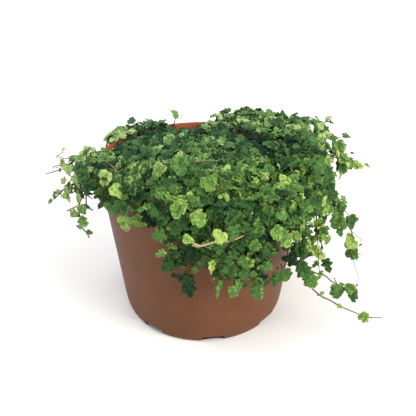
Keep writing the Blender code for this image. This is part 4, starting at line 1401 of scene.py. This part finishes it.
# %% Single leaves
# Middle of the leaf in mm, length in mm, direction of its tip, direction it faces, youth and pale margin
SINGLE_LEAVES = [
    ((-24.5, 71, 128.5), 8, (-0.4, 0.0, 0.9), (0.9, -0.6, 0.1), 0.86, 0.0),
    ((-64, -48, 127), 12, (-0.3, -0.2, -0.9), (-0.5, -0.8, 0.4), 0.99, 0.2),
    ((-52.5, -61, 126.5), 11, (0.8, -0.2, -0.5), (0.5, -0.7, 0.9), 0.93, 0.2),
    ((-60, -49, 108), 12, (0.0, -0.4, -0.9), (-0.3, -0.9, 0.3), 0.74, 0.0),
    ((-71, -31, 108), 11, (0.1, -0.2, -0.9), (-0.5, -0.8, 0.3), 0.18, 0.0),
    ((-50, -64, 104), 11, (-0.1, -0.2, -0.9), (-0.1, -0.9, 0.1), 0.93, 0.1),
    ((-39, -69, 109), 10, (0.6, -0.1, -0.7), (-0.1, -0.9, 0.1), 0.82, 0.0),
    ((-32, -73, 113), 11, (0.5, -0.1, -0.9), (-0.1, -0.9, 0.3), 0.02, 0.0),
    ((-23, -82, 101), 9, (-0.1, 0.0, -1.0), (-0.5, -0.8, 0.1), 0.22, 0.4),
    ((-19, -83, 85), 11, (-0.5, 0.0, -0.8), (-0.2, -1.0, 0.1), 0.34, 0.0),
    ((-10, -81, 69), 11, (-0.1, 0.1, -1.0), (-0.1, -1.0, 0.1), 0.22, 0.0),
    ((-9, -81, 62), 10, (0.2, 0.1, -1.0), (0.0, -1.0, 0.2), 0.18, 0.0),
    ((-7, -84, 90), 12, (0.1, 0.0, -1.0), (-0.1, -1.0, 0.1), 0.16, 0.0),
    ((-8, -90, 109), 7, (0.9, 0.0, -0.1), (0.0, -0.9, 0.5), 0.93, 0.1),
    ((10.5, -92, 112.5), 9.5, (-0.5, 0.0, 0.8), (0.0, -1.0, 0.2), 1.0, 0.1),
    ((-1, -88, 122), 10, (0.5, -0.3, -0.8), (0.2, -0.8, 0.8), 0.84, 0.1),
    ((-15, -82, 124), 10, (-0.4, -0.4, -0.7), (-0.2, -0.7, 0.9), 0.76, 0.3),
    ((21, -88, 111), 10, (0.2, -0.1, -1.0), (0.6, -0.9, 0.2), 0.60, 0.0),
    ((10, -87, 66), 12, (0.1, 0.1, -1.0), (0.95, -0.4, -0.2), 0.74, 0.0),
    ((23, -86, 66), 12, (0.5, 0.1, -1.0), (0.6, -0.7, -0.1), 0.70, 0.2),
    ((17, -85, 80), 11, (-0.2, 0.0, -1.0), (-0.4, -1.0, 0.0), 0.60, 0.0),
    ((6, -86, 84), 9, (0.0, 0.0, -1.0), (0.8, -0.6, 0.1), 0.98, 0.5),
    ((28, -84, 86), 8, (-0.4, 0.0, -0.8), (0.0, -1.0, 0.0), 0.82, 0.0),
    ((36, -82, 62), 9, (0.5, 0.1, -0.9), (-0.5, -0.7, 0.4), 0.70, 0.3),
    ((57, -64, 62), 9, (0.1, 0.0, -1.0), (0.4, -0.9, 0.2), 0.66, 0.0),
    ((50, -71, 63), 10, (-0.3, 0.1, -1.0), (0.3, -0.9, 0.1), 0.50, 0.0),
    ((48, -76, 104), 9, (0.6, -0.1, -0.6), (0.2, -0.9, 0.4), 0.78, 0.1),
    ((56, -68, 94), 10, (0.6, 0.0, -0.7), (0.3, -0.9, 0.3), 0.82, 0.2),
    ((58.5, -66, 78), 9.5, (-0.8, 0.0, 0.2), (0.4, -0.9, 0.3), 0.10, 0.0),
    ((66, -61, 68), 9, (-0.5, 0.0, -0.8), (0.2, -1.0, 0.2), 0.44, 0.0),
    ((71, -60.5, 62), 11.5, (0.5, 0.0, -0.8), (0.0, -1.0, 0.3), 0.52, 0.0),
    ((76, -60.5, 54.5), 10.5, (0.5, 0.0, -0.8), (-0.1, -1.0, 0.2), 0.66, 0.3),
    ((84, -60, 44.5), 3, (0.7, 0.0, 0.6), (0.0, -1.0, 0.3), 0.90, 0.0),
    ((98, -60, 33), 4, (0.8, 0.0, -0.5), (-0.3, -0.9, 0.6), 0.92, 0.0),
    ((115, -61, 24.5), 8, (-0.7, 0.0, 0.2), (0.1, -0.9, 0.4), 0.88, 0.2),
    ((98, -51, 38), 11.5, (0.1, 0.0, -1.0), (0.2, -1.0, 0.2), 0.66, 0.2),
    ((106, -51, 43), 8, (-0.4, 0.0, 0.8), (0.0, -1.0, 0.3), 0.72, 0.0),
    ((107.5, -51, 35), 10, (0.4, 0.0, -0.9), (-0.9, -0.5, 0.2), 0.66, 0.1),
    ((92, -31, 47), 10, (0.3, 0.0, -0.9), (-0.3, -0.9, 0.3), 0.50, 0.0),
    ((85, -33, 78), 10, (-0.3, 0.0, -0.9), (0.1, -1.0, 0.3), 0.60, 0.1),
    ((81, -42, 66), 10, (0.6, 0.0, -0.8), (0.0, -1.0, 0.4), 0.99, 0.1),
    ((72.5, -45, 72), 11, (0.4, 0.0, -0.9), (0.1, -1.0, 0.4), 0.90, 0.2),
    ((64, -56, 77), 10, (-0.2, 0.0, -1.0), (-0.4, -0.9, 0.1), 0.36, 0.0),
    ((70, -51, 71), 10, (0.3, 0.0, -0.9), (0.2, -1.0, 0.2), 0.48, 0.0),
    ((95.5, -28, 83), 11, (-0.3, 0.0, -0.8), (0.1, -1.0, 0.3), 0.66, 0.1),
    ((105, -18, 74), 6, (0.5, 0.0, -0.8), (0.2, -1.0, 0.2), 0.62, 0.1),
    ((111.5, -13, 74), 12, (0.3, 0.0, -0.9), (0.2, -0.9, 0.2), 0.50, 0.5),
    ((112.5, -13, 58), 12.5, (0.1, 0.0, 1.0), (0.1, -1.0, 0.2), 0.92, 0.1),
    ((113.5, -13, 47), 10, (-0.9, 0.0, 0.1), (0.1, -0.9, 0.5), 0.66, 0.1),
    ((103, -13, 85), 11, (0.0, 0.0, -1.0), (0.4, -0.9, 0.2), 0.52, 0.2),
    ((86, -26, 93), 10, (0.2, 0.0, -1.0), (0.3, -0.9, 0.5), 0.86, 0.1),
    ((72, -36, 112), 11, (0.2, -0.5, -0.8), (0.3, -0.8, 0.5), 0.62, 0.1),
    ((105, 26, 117), 12, (0.3, 0.0, -0.9), (0.2, -0.9, 0.4), 0.78, 0.1),
    ((112, 20, 109), 10, (0.6, 0.0, 0.3), (0.1, -0.9, 0.4), 0.80, 0.1),
    ((119.5, 20, 106), 9, (0.9, 0.0, -0.2), (0.1, -0.8, 0.6), 0.96, 0.3),
    ((108, 18, 105), 11, (0.2, 0.0, -0.9), (0.2, -0.9, 0.4), 0.66, 0.1),
    ((97, 12, 105), 9, (0.5, 0.0, -0.8), (0.2, -0.9, 0.4), 0.26, 0.0),
    ((85, -20, 93), 9, (0.4, 0.0, -0.8), (0.4, -0.9, 0.3), 0.10, 0.0),
    ((94, 55, 124), 11, (0.2, 0.1, 0.8), (0.1, -0.9, 0.4), 0.72, 0.1),
    ((98, 48, 123), 8, (0.7, 0.0, -0.5), (0.2, -0.8, 0.6), 0.50, 0.1),
    ((-15, -30, 128), 13, (0.2, -0.6, -0.4), (-0.1, -0.6, 0.8), 0.66, 0.0),
    ((-31, -30, 125), 12, (-0.5, -0.5, -0.3), (-0.2, -0.6, 0.8), 0.90, 0.0),
    ((5, -55, 128), 11, (0.3, -0.6, -0.4), (0.0, -0.6, 0.8), 0.76, 0.1),
]
SINGLE_TILT = 0.3
SINGLE_FORWARD = 0.006
FAR_FORWARD = SINGLE_FORWARD / 3
FAR_RADIUS = 0.094
SINGLE_STRAY = 0.12
BEHIND_LEAF = 0.0014
BELOW_LEAF = 0.0016
# Places of the leaf forms when they are sorted by name
BROAD_FORMS = (0, 1)
LOBED_FORMS = (2, 3, 4, 5, 6, 7)
YOUNG_FORMS = (8, 9)

for index, (middle, length, pointing, facing, youth, pale) in enumerate(SINGLE_LEAVES):
    facing = (Vector(facing) + Vector((0, 0, SINGLE_TILT))).normalized()
    pointing = Vector(pointing)
    pointing = (pointing - facing * pointing.dot(facing)).normalized()
    size = length * MM
    middle = Vector(middle) * MM
    forward = SINGLE_FORWARD if math.hypot(middle.x, middle.y) < FAR_RADIUS else FAR_FORWARD
    middle += (Vector(CAMERA_PLACE) - middle).normalized() * forward
    root = middle - pointing * (0.5 + STALK_REACH) * size - facing * STALK_RISE * size
    behind = root - pointing * BEHIND_LEAF - facing * BELOW_LEAF
    suited = YOUNG_FORMS if youth >= 0.9 else BROAD_FORMS if youth >= 0.6 else LOBED_FORMS
    beds[plant_nearest(root)].add(
        [behind, root], size, (youth, youth), leafy=(1.0, 1.0), bark=(0.3, 0.7),
        pale=pale, stray=SINGLE_STRAY, facing=facing, form=suited[index % len(suited)],
    )
print("single leaves:", len(SINGLE_LEAVES))

# %% [markdown]
# ## Growing the plants
#
# One recipe grows every plant. It makes tubes along the stems, and puts a leaf at even steps along them,
# left and right by turns. Each leaf points aside, a little forwards and a little down, faces the way that
# its stem says, and is turned, sized and tinted slightly at random. The leaf at the end of a stem points
# straight on.

# %% The recipe that grows a plant: its inputs
growing = Recipe("grow_stems_and_leaves")
paths = growing.takes("stems", "Geometry")
forms = growing.takes("leaf_forms", "Collection")
spacing = growing.takes("leaf_spacing", "Float")
sides = growing.takes("stem_sides", "Int")
unevenness = growing.takes("unevenness", "Float")
seed = growing.takes("seed", "Int")
leaf_finish = growing.takes("leaf_finish", "Material")
stem_finish = growing.takes("stem_finish", "Material")
print("inputs of the recipe and their identifiers:", growing.places)

# %% Tubes along the stems, and which way the leaves point
AT_TIP = 0.985
FORWARDS = (0.1, 0.9)
LEAF_WEIGHT = (0, 0, -0.6)

lines = growing.node("GeometryNodeMeshToCurve", Mesh=paths).outputs[0]
ring = growing.node("GeometryNodeCurvePrimitiveCircle", Resolution=sides, Radius=1.0).outputs[0]
tubes = growing.node(
    "GeometryNodeCurveToMesh", Curve=lines, Profile_Curve=ring, Scale=growing.named("width"), Fill_Caps=True
).outputs[0]
tubes = growing.node("GeometryNodeSetMaterial", Geometry=tubes, Material=stem_finish).outputs[0]

stops = growing.node("GeometryNodeResampleCurve", {"mode": "LENGTH"}, Curve=lines, Length=spacing).outputs[0]
along_stem = growing.node("GeometryNodeSplineParameter")
at_tip = growing.sum("GREATER_THAN", along_stem.outputs["Factor"], AT_TIP)
parity = growing.sum("MULTIPLY_ADD", growing.sum("MODULO", along_stem.outputs["Index"], 2.0), 2.0, -1.0)
stray = growing.sum("MULTIPLY", growing.named("stray"), unevenness)
tangent = growing.node("GeometryNodeInputTangent").outputs[0]
facing = growing.named("facing", "FLOAT_VECTOR")


def loose(offset):
    """A small random vector for each leaf, as long as its stem lets it stray."""
    drawn = growing.random((-1, -1, -1), (1, 1, 1), growing.sum("ADD", seed, offset), "FLOAT_VECTOR")
    return growing.vector("SCALE", drawn, Scale=stray)


sideways = growing.vector("NORMALIZE", growing.vector("CROSS_PRODUCT", tangent, facing))
aside = growing.sum("MULTIPLY", parity, growing.sum("SUBTRACT", 1.0, at_tip))
pointing = growing.vector("SCALE", sideways, Scale=aside)
forwards = growing.sum("MAXIMUM", growing.random(*FORWARDS, seed), at_tip)
pointing = growing.vector("ADD", pointing, growing.vector("SCALE", tangent, Scale=forwards))
weight = growing.vector("SCALE", LEAF_WEIGHT, Scale=growing.named("stray"))
pointing = growing.vector("ADD", growing.vector("ADD", pointing, weight), loose(1.0))
turned_to = growing.node(
    "FunctionNodeAxesToRotation",
    {"primary_axis": "Z", "secondary_axis": "Y"},
    Primary_Axis=growing.vector("ADD", facing, loose(7.0)),
    Secondary_Axis=pointing,
).outputs[0]
print("nodes so far:", len(growing.tree.nodes))

# %% A leaf at each step
LEAF_SPREAD = (0.76, 1.28)
TINT_SPREAD = (-0.29, 0.29)
PALEST = 0.70


def varied(low, high, offset):
    """A random number for each leaf, or the middle of its range where the stem allows no straying."""
    middle = (low + high) / 2
    number = growing.random(low - middle, high - middle, growing.sum("ADD", seed, offset))
    return growing.sum("ADD", growing.sum("MULTIPLY", number, growing.named("stray")), middle)


size = growing.sum("MULTIPLY", growing.named("leaf_size"), varied(*LEAF_SPREAD, 3.0))
choices = growing.node(
    "GeometryNodeCollectionInfo", Collection=forms, Separate_Children=True, Reset_Children=True
).outputs[0]
last_form = len(leaf_forms.objects) - 1
left_open = growing.sum("LESS_THAN", growing.named("form"), 0.0)
drawn_form = growing.random(0, last_form, growing.sum("ADD", seed, 5.0), "INT")
any_form = growing.sum("MULTIPLY", left_open, drawn_form)
leaves = growing.node(
    "GeometryNodeInstanceOnPoints",
    Points=stops,
    Selection=growing.sum("GREATER_THAN", growing.named("leafy"), 0.5),
    Instance=choices,
    Pick_Instance=True,
    Instance_Index=growing.sum("MAXIMUM", growing.named("form"), any_form),
    Rotation=turned_to,
    Scale=growing.node("ShaderNodeCombineXYZ", X=size, Y=size, Z=size).outputs[0],
).outputs[0]
tint = growing.sum("ADD", growing.named("youth"), varied(*TINT_SPREAD, 11.0))
some = growing.sum("POWER", growing.random(0.0, PALEST, growing.sum("ADD", seed, 13.0)), 2.0)
some = growing.sum("MULTIPLY", some, growing.named("stray"))
paleness = growing.sum("MAXIMUM", growing.named("pale"), some)
for label, value in (("tint", tint), ("paleness", paleness)):
    leaves = growing.node(
        "GeometryNodeStoreNamedAttribute", {"data_type": "FLOAT", "domain": "INSTANCE"},
        Geometry=leaves, Name=label, Value=value,
    ).outputs[0]
leaves = growing.node("GeometryNodeRealizeInstances", Geometry=leaves).outputs[0]
leaves = growing.node("GeometryNodeSetMaterial", Geometry=leaves, Material=leaf_finish).outputs[0]
growing.gives(growing.joined(tubes, leaves))
print("nodes in the recipe:", len(growing.tree.nodes))

# %% Grow the seven plants
LEAF_SPACING = 0.0055
total = 0
for number, bed in enumerate(beds, start=1):
    plant = bed.as_object(f"fig_plant_{number}")
    growing.used_on(
        plant, leaf_forms=leaf_forms, leaf_spacing=LEAF_SPACING, stem_sides=5, unevenness=0.5,
        seed=number * 20, leaf_finish=leaf.material, stem_finish=stem.material,
    )
    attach(plant, "root")
    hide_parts(f"plant_{number}")
    total += len(plant.data.polygons)
    print(plant.name, "faces:", len(plant.data.polygons))
for form in list(leaf_forms.objects):
    bpy.data.objects.remove(form)
bpy.data.collections.remove(leaf_forms)
print("faces of all the plants:", total)

# %% [markdown] ## Check the size  The dressed model has to stay in the box of the frame, give or take
# a few millimetres.

# %% Compare the boxes and finish
dressed_box = [list(corner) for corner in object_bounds()]
for axis, name in enumerate("xyz"):
    low = 1000 * (dressed_box[0][axis] - cad_box[0][axis])
    high = 1000 * (dressed_box[1][axis] - cad_box[1][axis])
    print(name, "low and high ends against the frame, mm:", round(low, 1), round(high, 1))
